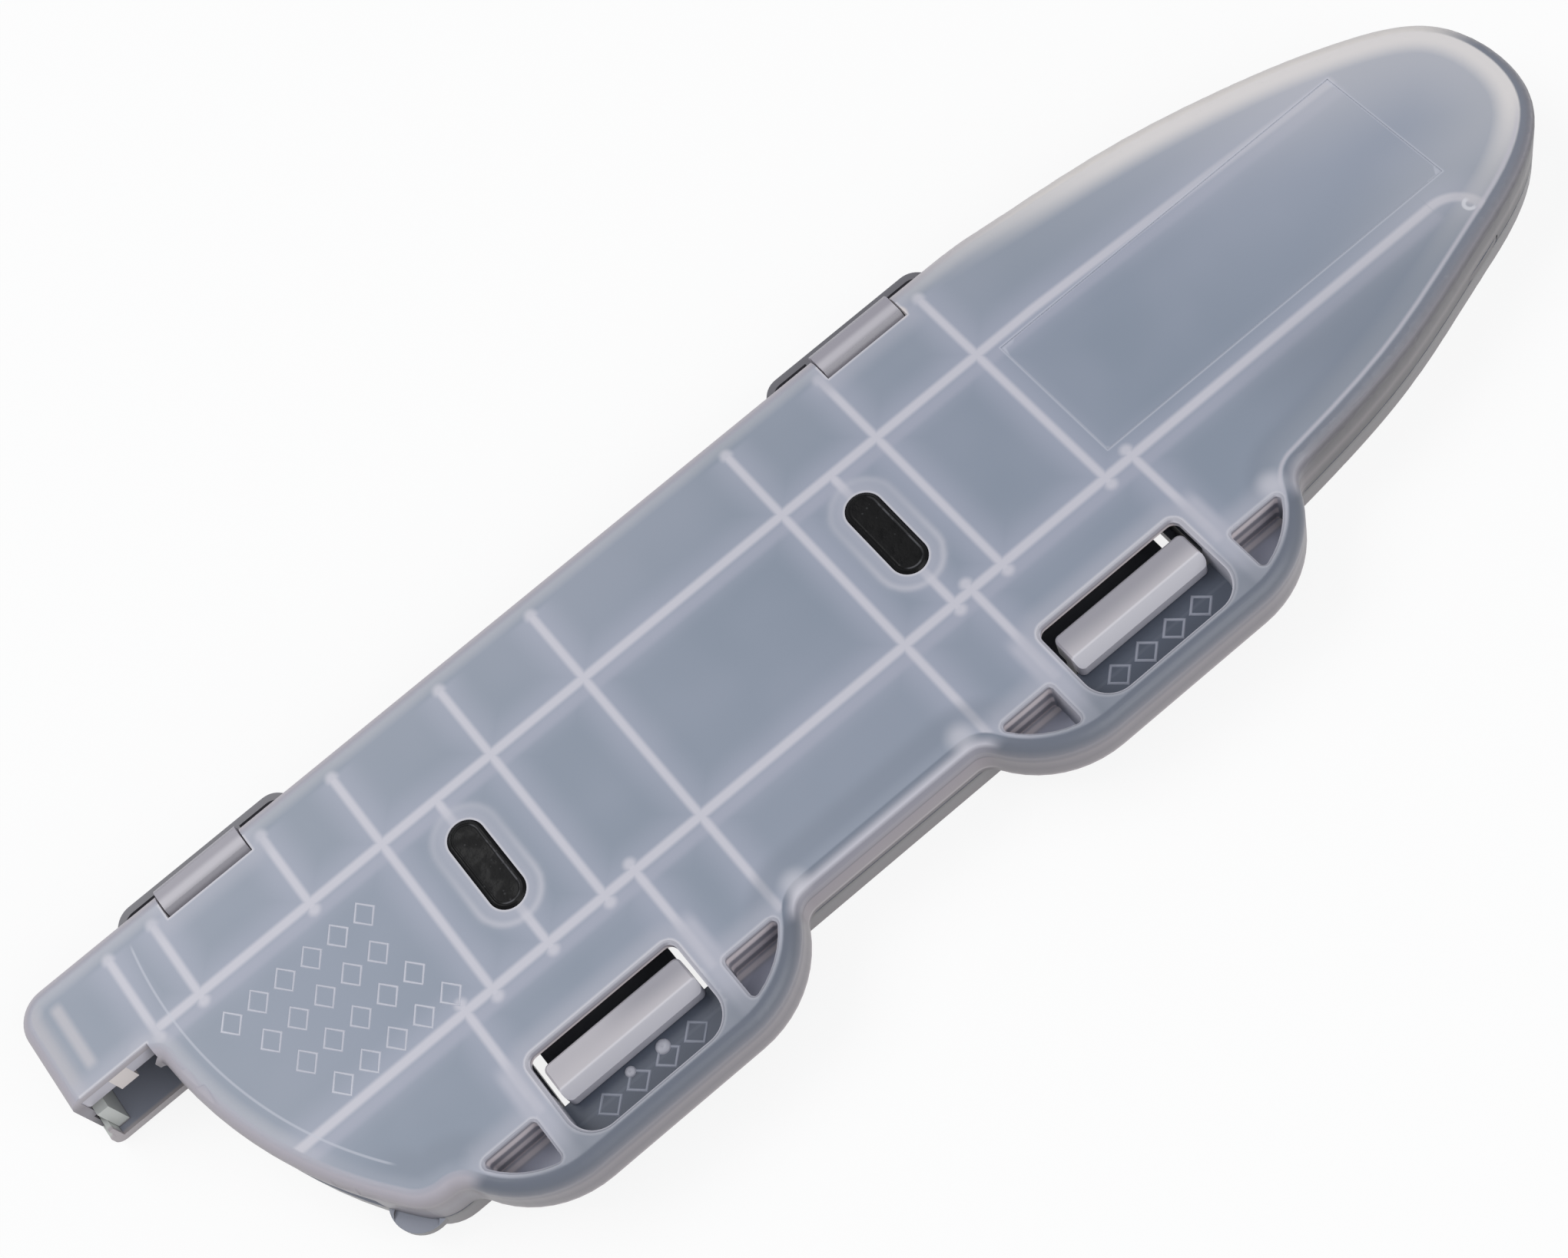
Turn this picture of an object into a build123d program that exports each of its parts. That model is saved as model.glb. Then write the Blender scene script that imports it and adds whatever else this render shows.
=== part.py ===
from build123d import *
import os
from math import sqrt

os.makedirs("parts", exist_ok=True)

# A clamshell guard that closes round a kitchen knife's blade.
# X runs along the case towards its rounded tip, Y towards the hinge side, Z out of the front face.
# The origin is halfway between the two hinges, midway between the two long ribs, on the back face.

# Case
thickness = 16.0
skin = 1.8
wall = 1.8
parting_height = 6.0
parting_gap = 0.3
hinge_side = 36.7
latch_side = 37.5
front_round = 2.6
back_round = 1.6
overrun = 5.0

# Neck, which holds the blade's heel corner
neck_length = 16.0
neck_corner = 6.0
front_neck_low = 15.5
back_neck_low = 12.7
neck_inner_corner = 1.5
neck_opening = 1.0
neck_skirt_drop = 2.7
neck_wall_height = 10.0
neck_wall_thickness = 2.2
neck_wall_stop = 9.0
neck_wall_start = 1.6
neck_tab_length = 3.5
neck_tab_width = 4.0
neck_tab_drop = 5.0
neck_tab_inset = 5.5

# Heel curve, with the mouth where the knife's handle leaves
heel_radius = 84.4
heel_nose = 93.4
heel_centre_y = 18.3
heel_corner = 8.0
mouth_top = 11.2
mouth_low = 29.0

# Rounded tip
tip_end = 183.0
tip_start = 88.0
tip_latch_shares = [(0.0, 1.0), (0.226, 0.963), (0.474, 0.867), (0.716, 0.687), (0.894, 0.509), (0.967, 0.343), (1.0, 0.03)]
tip_hinge_shares = [(0.966, 0.278), (0.84, 0.52), (0.604, 0.749), (0.36, 0.899), (0.113, 0.982), (0.0, 1.0)]
tip_steps = 8

# Overlapping lip between the halves
lip_thickness = 0.8
lip_height = 1.8
lip_clearance = 0.1
lip_start = -58.0
lip_stop = 1.8

# Ribs
long_rib_offset = 16.3
long_rib_width = 1.4
cross_rib_width = 1.2
front_rib_depth = 3.4
back_rib_depth = 3.2
long_rib_start = -91.0
upper_rib_bend = 95.0
upper_rib_end = 160.0
upper_rib_lean = 2.6
lower_rib_turn = 153.5
lower_rib_hook = 6.0
full_rib_places = [-2.3, 40.1]
half_rib_places = [-44.6, -21.9, 60.6, 82.6]
short_rib_places = [-91.1, -82.1, -59.5]
rib_end_gap = 3.0
knob_radius = 1.35
knob_step = 1.4
knob_sides = 8

# Hinges, with pins in the front half and hooks in the back half
hinge_spacing = 141.2
pin_radius = 1.5
pin_clearance = 0.08
pin_inset = 2.3
pin_depth = 3.1
hook_length = 16.2
hook_wall = 1.5
hook_crown = 3.5
hook_top_gap = 0.1
hook_mouth = 2.5
notch_gap = 0.65
notch_depth = 5.8
cheek_length = 2.6
cheek_drop = 2.2
cheek_depth = 4.6
bulge_length = 32.0
bulge_ramp = 4.0
bulge_reach = 4.6
bulge_wall = 1.3
bulge_drop = 0.3
gusset_width = 1.2
hinge_relief = 0.45

# Latch lobes of the front half
latch_places = [-32.9, 71.2]
lobe_reach = 11.9
lobe_corner = 20.0
lobe_flat = 30.0
lobe_blend = 3.5
lobe_wall = 1.4
rim_width = 3.4
pocket_floor = 7.8
pocket_start = 18.7
pocket_round = 0.8
tub_wall = 1.2
well_length = 29.0
well_inner = 29.2
well_round = 5.0
well_corner = 1.6
plate_top = 10.5
plate_thickness = 1.4
plate_edge = 37.0
edge_round = 0.7
pocket_edge = 0.5
lip_slope = 40.0
frame_rib_place = 17.1

# Latch tongues and hooks
tongue_length = 26.4
tongue_gap = 2.0
root_place = 20.0
root_clearance = 0.1
stem_face = 36.5
stem_thickness = 2.4
head_inner = 32.3
head_outer = 38.2
head_top = 15.0
head_gap = 0.3
nose_slope = 1.8
head_corner = 1.1
head_edge = 0.35
tongue_round = 1.2

# Grip pads
pad_places = [-33.4, 50.6]
pad_centre_y = 1.3
pad_length = 18.2
pad_width = 6.6
pad_proud = 0.35
pad_recess = 0.15
pad_edge = 0.5
pad_fit = 0.05
pad_flange = 1.2
pad_flange_depth = 2.0
boss_width = 2.9
boss_depth = 3.0

# Thumb lug at the heel corner
lug_radius = 5.4
lug_inset = 3.36
lug_y = -31.2
lug_thickness = 3.0
lug_dish = 3.8
lug_dish_depth = 0.6
lug_dish_step = 2.0
lug_edge = 0.7

# Shallow label recess near the tip
label_start = 86.3
label_length = 73.3
label_width = 27.2
label_centre_y = 0.9
label_depth = 0.2

hinge_half = hinge_spacing / 2
pin_y = hinge_side - pin_inset
pin_z = thickness - pin_depth
skin_under = thickness - skin
skirt_bottom = parting_height + parting_gap
lobe_outer = latch_side + lobe_reach
hole_size = (pad_length + pad_fit * 2, pad_width + pad_fit * 2)
flange_reach = pad_flange + pad_fit
flange_size = (pad_length + flange_reach * 2, pad_width + flange_reach * 2)
heel_centre_x = heel_radius - heel_nose
neck_end = heel_nose + neck_length


def heel_point(y, inset):
    radius = heel_radius - inset
    return (heel_centre_x - sqrt(radius**2 - (y - heel_centre_y)**2), y)


lug_x = heel_point(lug_y, 0)[0] + lug_inset


def tip_point(share, side):
    return (tip_start + share[0] * (tip_end - tip_start), side * share[1])


def tip_curve(inset):
    """The rounded tip from the latch side to the hinge side, moved in by the inset."""
    latch_points = [tip_point(share, -latch_side) for share in tip_latch_shares]
    hinge_points = [tip_point(share, hinge_side) for share in tip_hinge_shares]
    outer = Spline(*latch_points, *hinge_points, tangents=[(1, 0), (-1, 0)])
    if not inset:
        return outer
    points = []
    for step in range(tip_steps + 1):
        share = step / tip_steps
        along = outer % share
        points.append(outer @ share + Vector(-along.Y, along.X) * inset)
    return Spline(*points, tangents=[(1, 0), (-1, 0)])


def case_outline(neck_low, inset=0):
    """The case seen from the front, moved in by the inset except on the neck's lower side."""
    tip = tip_curve(inset)
    end_x = -neck_end + inset
    top_y = hinge_side - inset
    low_y = -latch_side + inset
    neck_root = heel_point(neck_low, inset)
    heel_middle = heel_point((neck_low - latch_side) / 2, inset)
    heel_low = heel_point(low_y, inset)
    edges = Curve() + [
        Line((end_x, neck_low), neck_root),
        ThreePointArc(neck_root, heel_middle, heel_low),
        Line(heel_low, tip @ 0),
        tip,
        Line(tip @ 1, (end_x, top_y)),
        Line((end_x, top_y), (end_x, neck_low)),
    ]
    outline = make_face(edges)
    rounded = [
        ((end_x, top_y), neck_corner - inset),
        (heel_low, heel_corner - inset),
        (neck_root, neck_inner_corner + inset),
    ]
    for place, radius in rounded:
        corner = outline.vertices().sort_by_distance(place)[0]
        outline = fillet(corner, radius)
    return outline


def prism(face, low, high):
    """A flat outline raised between two heights."""
    return extrude(Plane.XY.offset(low) * face, high - low)


def flare(face, reach):
    """The sloping lip round a recess's mouth in the front face."""
    return extrude(Plane.XY.offset(thickness - reach) * face, reach, taper=-lip_slope)


def block(x_low, x_high, y_low, y_high, z_low, z_high):
    size = Box(x_high - x_low, y_high - y_low, z_high - z_low, align=(Align.MIN, Align.MIN, Align.MIN))
    return Pos(x_low, y_low, z_low) * size


def lobe_outline(place, base_depth=wall):
    """A latch lobe, closed inside the case so that it joins it."""
    centre_y = -lobe_outer + lobe_corner
    base_y = -latch_side + base_depth
    half_flat = lobe_flat / 2
    half_base = half_flat + sqrt(lobe_corner**2 - (centre_y - base_y)**2)
    slant = lobe_corner * sqrt(0.5)
    edges = Curve() + [
        Line((place - half_flat, -lobe_outer), (place + half_flat, -lobe_outer)),
        ThreePointArc(
            (place + half_flat, -lobe_outer),
            (place + half_flat + slant, centre_y - slant),
            (place + half_base, base_y),
        ),
        Line((place + half_base, base_y), (place - half_base, base_y)),
        ThreePointArc(
            (place - half_base, base_y),
            (place - half_flat - slant, centre_y - slant),
            (place - half_flat, -lobe_outer),
        ),
    ]
    return make_face(edges)


def neck_strip(neck_low, width):
    """The strip past a neck's cut edge, taken off after the rounding so that edge stays square."""
    return block(-neck_end, heel_point(neck_low, 0)[0], neck_low - width, neck_low, 0, thickness)


def front_outline():
    """The front half's outer outline: the case with both lobes blended in."""
    outline = case_outline(front_neck_low - front_round)
    for place in latch_places:
        outline = outline + lobe_outline(place)
        for side in (-1, 1):
            centre_y = -lobe_outer + lobe_corner
            reach = lobe_flat / 2 + sqrt(lobe_corner**2 - (centre_y + latch_side)**2)
            corner = outline.vertices().sort_by_distance((place + side * reach, -latch_side))[0]
            outline = fillet(corner, lobe_blend)
    return outline


def well_outline(place, growth):
    """A latch well, wide round at its outer corners and tight at its inner ones."""
    depth = lobe_outer - rim_width - well_inner
    size = Rectangle(well_length, depth)
    outer = size.vertices().group_by(Axis.Y)[0]
    size = fillet(outer, well_round)
    inner = size.vertices().group_by(Axis.Y)[-1]
    size = fillet(inner, well_corner)
    if growth:
        size = offset(size, growth)
    return Pos(place, -well_inner - depth / 2) * size


def pocket_outline(place, side):
    """A recess between a well's frame and the lobe's rim."""
    inside = offset(lobe_outline(place, rim_width), -rim_width)
    reach = lobe_flat + lobe_corner
    centre = place + side * (pocket_start + reach / 2)
    window = Pos(centre, -latch_side - reach / 2) * Rectangle(reach, reach)
    pocket = (inside & window).face()
    return fillet(pocket.vertices(), pocket_round)


def obround(x, length, width):
    """An outline with round ends, long across the case."""
    return Pos(x, pad_centre_y) * Rot(0, 0, 90) * SlotOverall(length, width)


def rib(start, end, width, low, high):
    """A straight rib between two places, square at its ends."""
    path = Vector(*end) - Vector(*start)
    middle = (Vector(*start) + Vector(*end)) / 2
    angle = Vector(1, 0).get_signed_angle(path)
    body = Box(path.length, width, high - low, align=(Align.CENTER, Align.CENTER, Align.MIN))
    return Pos(middle.X, middle.Y, low) * Rot(0, 0, angle) * body


def knob(x, y, low, high):
    return prism(Pos(x, y) * RegularPolygon(knob_radius, knob_sides), low, high)


def rib_lattice(low, high):
    """The two long ribs with the cross ribs, pad ribs, frame ribs and round end knobs."""
    upper = long_rib_offset
    lower = -long_rib_offset
    cross_end = hinge_side - wall - rib_end_gap
    bend = (upper_rib_bend, upper)
    pieces = [
        rib((long_rib_start, upper), bend, long_rib_width, low, high),
        rib(bend, (upper_rib_end, upper - upper_rib_lean), long_rib_width, low, high),
        rib((-neck_end, lower), (lower_rib_turn, lower), long_rib_width, low, high),
    ]
    turn_centre = Pos(lower_rib_turn, lower - lower_rib_hook, low)
    ring = Cylinder(lower_rib_hook + long_rib_width / 2, high - low, align=(Align.CENTER, Align.CENTER, Align.MIN))
    core = Cylinder(lower_rib_hook - long_rib_width / 2, high - low, align=(Align.CENTER, Align.CENTER, Align.MIN))
    quarter = Box(
        lower_rib_hook * 2,
        lower_rib_hook * 2,
        high - low,
        align=(Align.MIN, Align.MIN, Align.MIN),
    )
    pieces.append(turn_centre * ((ring - core) & quarter))
    for x in full_rib_places:
        pieces.append(rib((x, cross_end), (x, -latch_side), cross_rib_width, low, high))
        pieces.append(knob(x, cross_end, low, high))
    for x in half_rib_places:
        pieces.append(rib((x, cross_end), (x, lower), cross_rib_width, low, high))
        pieces.append(knob(x, cross_end, low, high))
        pieces.append(knob(x, lower - knob_step, low, high))
    for x in short_rib_places:
        pieces.append(rib((x, cross_end), (x, upper), cross_rib_width, low, high))
        pieces.append(knob(x, upper - knob_step, low, high))
    for x in pad_places:
        pieces.append(rib((x, upper), (x, lower), cross_rib_width, low, high))
        pieces.append(knob(x, lower - knob_step, low, high))
    for place in latch_places:
        for side in (-1, 1):
            x = place + side * frame_rib_place
            pieces.append(rib((x, lower), (x, -latch_side), cross_rib_width, low, high))
            pieces.append(knob(x, lower + knob_step, low, high))
    return pieces


def clipped_ribs(low, high, neck_low):
    """The rib lattice, cut to the inside of the case."""
    inside = prism(case_outline(neck_low + wall / 2, wall / 2), low, high)
    return [piece & inside for piece in rib_lattice(low, high)]


def mouth_cutter(low, high):
    """The slot through the heel curve, from the neck to the thumb lug."""
    ring = Circle(heel_radius + overrun) - Circle(heel_radius - wall)
    ring = Pos(heel_centre_x, heel_centre_y) * ring
    top = front_neck_low + overrun
    band = Pos(-neck_end, (top - mouth_low) / 2) * Rectangle(neck_end, top + mouth_low)
    return prism(ring & band, low, high)


def hinge_pin(place):
    """A front half's pin with the cheek that holds each end."""
    half_notch = hook_length / 2 + notch_gap
    reach = half_notch * 2 + cheek_length
    pin = Pos(place, pin_y, pin_z) * Rot(0, 90, 0) * Cylinder(pin_radius, reach)
    body = pin
    for side in (-1, 1):
        near = place + side * half_notch
        far = near + side * cheek_length
        cheek = block(
            min(near, far),
            max(near, far),
            hinge_side - cheek_depth,
            hinge_side - wall / 2,
            pin_z - cheek_drop,
            skin_under + skin / 2,
        )
        body = body + cheek
    return body


def front_shell():
    outline = front_outline()
    body = prism(outline, skirt_bottom, thickness)
    body = fillet(body.faces().sort_by(Axis.Z)[-1].edges(), front_round)
    body = body - neck_strip(front_neck_low, front_round)

    body = body - prism(case_outline(front_neck_low - neck_opening, wall), 0, skin_under)
    rebate = case_outline(front_neck_low - neck_opening, wall - lip_thickness - lip_clearance)
    body = body - prism(rebate, 0, parting_height + lip_height + parting_gap)
    for place in latch_places:
        hollow = offset(lobe_outline(place), -lobe_wall) - case_outline(front_neck_low)
        body = body - prism(hollow, 0, skin_under)

    body = body + clipped_ribs(skin_under - front_rib_depth, skin_under + skin / 2, front_neck_low)
    body = body - mouth_cutter(0, mouth_top)
    neck_skirt = block(
        -neck_end,
        -neck_end + wall - lip_thickness - lip_clearance,
        front_neck_low,
        hinge_side - neck_corner,
        skirt_bottom - neck_skirt_drop,
        parting_height + lip_height + parting_gap,
    )
    tab_x = -neck_end + wall + neck_tab_inset
    neck_tab = block(
        tab_x,
        tab_x + neck_tab_length,
        front_neck_low,
        front_neck_low + neck_tab_width,
        skin_under - neck_tab_drop,
        skin_under + skin / 2,
    )
    body = body + neck_skirt + neck_tab

    for place in latch_places:
        body = body + latch_tubs(place)
        body = body - latch_cuts(place)
    for place in pad_places:
        boss = obround(place, pad_length + boss_width * 2, pad_width + boss_width * 2)
        shoulder = skin_under - boss_depth
        body = body + prism(boss, shoulder, skin_under + skin / 2)
        body = body - prism(obround(place, *hole_size), 0, thickness)
        body = body - prism(obround(place, *flange_size), 0, shoulder)
    for place in (-hinge_half, hinge_half):
        half_notch = hook_length / 2 + notch_gap
        notch = block(
            place - half_notch,
            place + half_notch,
            hinge_side - notch_depth,
            hinge_side + overrun,
            0,
            thickness,
        )
        body = body - notch + hinge_pin(place)
    label = block(
        label_start,
        label_start + label_length,
        label_centre_y - label_width / 2,
        label_centre_y + label_width / 2,
        thickness - label_depth,
        thickness,
    )
    body = body - label
    return body


def latch_tubs(place):
    """The walls and floors of a lobe's well and of the pockets beside it."""
    tub = prism(well_outline(place, tub_wall), plate_top - plate_thickness, skin_under + skin / 2)
    half = well_length / 2 + tub_wall
    pieces = [tub & block(place - half, place + half, -lobe_outer, -plate_edge, 0, thickness)]
    limit = prism(lobe_outline(place) - case_outline(front_neck_low), 0, thickness)
    for side in (-1, 1):
        grown = offset(pocket_outline(place, side), tub_wall)
        pocket = prism(grown, pocket_floor - tub_wall, skin_under + skin / 2)
        pieces.append(pocket & limit)
    return pieces


def latch_cuts(place):
    """The open insides of a lobe's well and pockets, and the hook's slot."""
    pieces = [prism(well_outline(place, 0), plate_top, thickness), flare(well_outline(place, 0), edge_round)]
    pieces.append(
        block(
            place - well_length / 2,
            place + well_length / 2,
            -plate_edge,
            -well_inner - well_corner,
            0,
            thickness,
        )
    )
    pieces.append(
        block(
            place - well_length / 2 + well_corner,
            place + well_length / 2 - well_corner,
            -plate_edge,
            -well_inner,
            0,
            thickness,
        )
    )
    for side in (-1, 1):
        pocket = pocket_outline(place, side)
        pieces.append(prism(pocket, pocket_floor, thickness))
        pieces.append(flare(pocket, pocket_edge))
    return pieces


def hinge_hook(place):
    """A hook over the front half's pin, on a bulge of the back half's side wall."""
    ledge = pin_z - pin_depth - bulge_drop
    outer = hinge_side + bulge_reach
    half = bulge_length / 2
    ramp = half + bulge_ramp
    edges = Polyline(
        (place - ramp, hinge_side - wall),
        (place - ramp, hinge_side),
        (place - half, outer),
        (place + half, outer),
        (place + ramp, hinge_side),
        (place + ramp, hinge_side - wall),
        close=True,
    )
    bulge_face = make_face(edges)
    for x in (place - half, place + half):
        corner = bulge_face.vertices().sort_by_distance((x, outer))[0]
        bulge_face = fillet(corner, bulge_ramp)
    bulge = prism(bulge_face, 0, ledge)
    bulge = fillet(bulge.faces().sort_by(Axis.Z)[0].edges().group_by(Axis.Y)[-1], back_round)
    hollow = offset(bulge_face, -bulge_wall)
    bulge = bulge - prism(hollow, skin, ledge)
    opening = block(
        place - half,
        place + half,
        hinge_side - wall - overrun,
        hinge_side,
        skin,
        ledge,
    )
    bulge = bulge - opening
    seat = block(
        place - ramp,
        place + ramp,
        hinge_side - wall,
        hinge_side,
        parting_height - hinge_relief,
        ledge,
    )
    bulge = bulge - seat

    shank_in = pin_y + pin_radius + pin_clearance
    shank_out = shank_in + hook_wall
    half_hook = hook_length / 2
    shank = block(place - half_hook, place + half_hook, shank_in, shank_out, skin / 2, pin_z)
    low_y = pin_y - pin_radius - pin_clearance - hook_wall
    crown = Rot(0, 90, 0) * Cylinder(hook_crown, hook_length)
    crown = Pos(place, pin_y, pin_z) * crown
    limit = block(
        place - half_hook,
        place + half_hook,
        low_y,
        shank_out,
        pin_z - pin_radius,
        thickness - hook_top_gap,
    )
    bore = Pos(place, pin_y, pin_z) * Rot(0, 90, 0) * Cylinder(pin_radius + pin_clearance, hook_length)
    snap = block(
        place - half_hook,
        place + half_hook,
        pin_y - hook_mouth / 2,
        pin_y + pin_radius + pin_clearance,
        pin_z - hook_crown,
        pin_z,
    )
    hook = (crown & limit) - bore - snap
    body = bulge + shank + hook
    for side in (-1, 1):
        near = place + side * half_hook
        far = near - side * gusset_width
        body = body + block(min(near, far), max(near, far), shank_out, outer - bulge_wall / 2, skin / 2, ledge)
    return body


def back_shell():
    body = prism(case_outline(back_neck_low - back_round), 0, parting_height)
    lug = Pos(lug_x, lug_y, parting_height - lug_thickness / 2) * Cylinder(lug_radius, lug_thickness)
    lug = chamfer(lug.edges().filter_by(GeomType.CIRCLE), lug_edge)
    body = fillet(body.faces().sort_by(Axis.Z)[0].edges(), back_round)
    body = body - neck_strip(back_neck_low, back_round) + lug
    dish_height = parting_height - lug_dish_depth
    dish = prism(Pos(lug_x - lug_dish_step, lug_y - lug_dish_step) * Circle(lug_dish), dish_height, thickness)
    outside = prism(case_outline(back_neck_low), 0, thickness)
    body = body - (dish - outside)
    body = body - prism(case_outline(back_neck_low - neck_opening, wall), skin, thickness)

    relief = block(
        -neck_end,
        tip_end,
        pin_y - wall,
        hinge_side,
        parting_height - hinge_relief,
        parting_height,
    )
    body = body - relief

    lip_outer = case_outline(back_neck_low, wall - lip_thickness)
    lip_inner = case_outline(back_neck_low, wall)
    lip_length = tip_end - lip_start
    lip_side = Pos(lip_start, -lip_stop) * Rectangle(lip_length, latch_side, align=(Align.MIN, Align.MAX))
    lip_face = (lip_outer - lip_inner) & lip_side
    body = body + prism(lip_face, parting_height - wall, parting_height + lip_height)

    end_wall_x = -neck_end + wall + lip_clearance
    end_wall = block(
        end_wall_x,
        end_wall_x + neck_wall_thickness,
        back_neck_low + neck_wall_start,
        hinge_side - neck_wall_stop,
        skin / 2,
        neck_wall_height,
    )
    rebate = block(
        -neck_end - overrun,
        -neck_end + wall - lip_thickness,
        back_neck_low - overrun,
        hinge_side - neck_corner + parting_gap,
        parting_height - neck_skirt_drop,
        thickness,
    )
    body = body - rebate + end_wall

    body = body + clipped_ribs(skin / 2, skin + back_rib_depth, back_neck_low)
    for place in (-hinge_half, hinge_half):
        clear = block(
            place - bulge_length / 2,
            place + bulge_length / 2,
            hinge_side - wall,
            hinge_side + overrun,
            skin,
            thickness,
        )
        body = body - clear + hinge_hook(place)
    for place in pad_places:
        boss = obround(place, pad_length + boss_width * 2, pad_width + boss_width * 2)
        shoulder = skin + boss_depth
        body = body + prism(boss, skin / 2, shoulder)
        body = body - prism(obround(place, *hole_size), 0, thickness)
        body = body - prism(obround(place, *flange_size), shoulder, thickness)
    for place in latch_places:
        half = tongue_length / 2 + tongue_gap
        slot = block(place - half, place + half, -latch_side - overrun, -root_place, 0, thickness)
        socket = Cylinder(skin / 2 + root_clearance, half * 2)
        socket = Pos(place, -root_place, skin / 2) * Rot(0, 90, 0) * socket
        body = body - slot - socket
    return body


def latch_hook(place):
    """A flexing tongue of the floor with its upright stem and the hook's head."""
    root = Pos(place, -root_place, skin / 2) * Rot(0, 90, 0) * Cylinder(skin / 2, tongue_length)
    half = tongue_length / 2
    tongue = block(place - half, place + half, -stem_face, -root_place, 0, skin)
    stem = block(place - half, place + half, -stem_face, -stem_face + stem_thickness, 0, plate_top + head_gap)
    body = tongue + stem
    outer_edge = body.edges().filter_by(Axis.X).sort_by_distance((place, -stem_face, 0))[0]
    body = fillet(outer_edge, tongue_round)
    inner_edge = body.edges().filter_by(Axis.X).sort_by_distance((place, -stem_face + stem_thickness, skin))[0]
    body = fillet(inner_edge, tongue_round)
    profile = Polyline(
        (-head_inner, plate_top + head_gap),
        (-head_inner, head_top),
        (-head_outer + nose_slope, head_top),
        (-head_outer, head_top - nose_slope),
        (-head_outer, plate_top + head_gap),
        close=True,
    )
    face = Plane.YZ.offset(place - half) * make_face(profile)
    head = extrude(face, tongue_length, dir=(1, 0, 0))
    head = fillet(head.edges().filter_by(Axis.Z), head_corner)
    top = head.faces().sort_by(Axis.Z)[-1]
    head = chamfer(top.edges(), head_edge)
    return root + body + head


def grip_pad(place, front):
    """An elastomer plug with its outer end in the shell's hole and its flange against the boss."""
    if front:
        outer = thickness + pad_proud
        shoulder = skin_under - boss_depth
        inner = shoulder - pad_flange_depth
    else:
        outer = pad_recess
        shoulder = skin + boss_depth
        inner = shoulder + pad_flange_depth
    plug = prism(obround(place, pad_length, pad_width), min(outer, shoulder), max(outer, shoulder))
    flange_face = obround(place, pad_length + pad_flange * 2, pad_width + pad_flange * 2)
    flange = prism(flange_face, min(inner, shoulder), max(inner, shoulder))
    if front:
        plug = chamfer(plug.faces().sort_by(Axis.Z)[-1].edges(), pad_edge)
    return plug + flange


parts = {
    "front_shell": front_shell(),
    "back_shell": back_shell(),
    "latch_hook_heel": latch_hook(latch_places[0]),
    "latch_hook_tip": latch_hook(latch_places[1]),
    "front_pad_heel": grip_pad(pad_places[0], True),
    "front_pad_tip": grip_pad(pad_places[1], True),
    "back_pad_heel": grip_pad(pad_places[0], False),
    "back_pad_tip": grip_pad(pad_places[1], False),
}

for name, part in parts.items():
    export_step(part, f"parts/{name}.step")
    print(name, "written")
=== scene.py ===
import bpy
import bmesh
import numpy as np
from mathutils import Matrix, Vector


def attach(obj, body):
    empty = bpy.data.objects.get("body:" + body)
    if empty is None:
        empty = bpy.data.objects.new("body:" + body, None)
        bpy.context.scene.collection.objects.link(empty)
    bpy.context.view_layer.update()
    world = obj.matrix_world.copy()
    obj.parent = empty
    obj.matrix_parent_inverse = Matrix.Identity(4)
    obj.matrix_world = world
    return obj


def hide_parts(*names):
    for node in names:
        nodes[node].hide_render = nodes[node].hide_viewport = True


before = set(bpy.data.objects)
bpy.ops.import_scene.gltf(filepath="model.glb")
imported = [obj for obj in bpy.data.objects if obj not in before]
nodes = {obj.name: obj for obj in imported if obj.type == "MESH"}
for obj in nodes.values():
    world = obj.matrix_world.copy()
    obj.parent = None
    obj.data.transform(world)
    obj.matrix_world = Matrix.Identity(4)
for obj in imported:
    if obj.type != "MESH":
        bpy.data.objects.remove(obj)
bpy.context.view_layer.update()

mm = 0.001

# Where the wells, the hinge hooks and the pads stand along the case, heel first. Millimetres.
casePlaces = {"wells": [-32.9, 71.2], "hinges": [-70.6, 70.6], "pads": [-33.4, 50.6]}

print("stage: camera")

# The photograph's viewpoint, with the image taken as 2041 x 1638 pixels.
cameraSettings = {
    "place": (-13.198 * mm, -185.142 * mm, 380.864 * mm),
    "right": (0.766288, -0.603554, -0.220283),
    "down": (-0.634808, -0.658348, -0.404471),
    "forward": (0.099097, 0.449779, -0.887625),
    "focalPixels": 3299.82,
    "imageWidth": 2041,
    "sensorWidth": 36.0,
    "clip": (0.01, 20.0),
}


def makeCamera(settings):
    cameraData = bpy.data.cameras.new("photoCamera")
    cameraData.sensor_fit = "HORIZONTAL"
    cameraData.sensor_width = settings["sensorWidth"]
    cameraData.lens = settings["focalPixels"] / settings["imageWidth"] * settings["sensorWidth"]
    cameraData.clip_start, cameraData.clip_end = settings["clip"]
    camera = bpy.data.objects.new("photoCamera", cameraData)
    bpy.context.scene.collection.objects.link(camera)
    right, down, forward = (Vector(settings[name]) for name in ("right", "down", "forward"))
    turn = Matrix((right, -down, -forward)).transposed().to_4x4()
    camera.matrix_world = Matrix.Translation(settings["place"]) @ turn
    bpy.context.scene.camera = camera


makeCamera(cameraSettings)

print("stage: node helpers")


def newTree(name):
    material = bpy.data.materials.new(name)
    material.use_nodes = True
    material.node_tree.nodes.clear()
    return material, material.node_tree


def addNode(tree, kind, label=None, **values):
    node = tree.nodes.new(kind)
    if label:
        node.label = label
    for key, value in values.items():
        setattr(node, key, value)
    return node


def feed(tree, socket, value):
    # A socket takes either another node's output or a plain number, colour or vector.
    if isinstance(value, bpy.types.NodeSocket):
        tree.links.new(value, socket)
    else:
        socket.default_value = value


def maths(tree, operation, first, second=None, clamp=False):
    node = addNode(tree, "ShaderNodeMath", operation=operation, use_clamp=clamp)
    feed(tree, node.inputs[0], first)
    if second is not None:
        feed(tree, node.inputs[1], second)
    return node.outputs[0]


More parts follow.
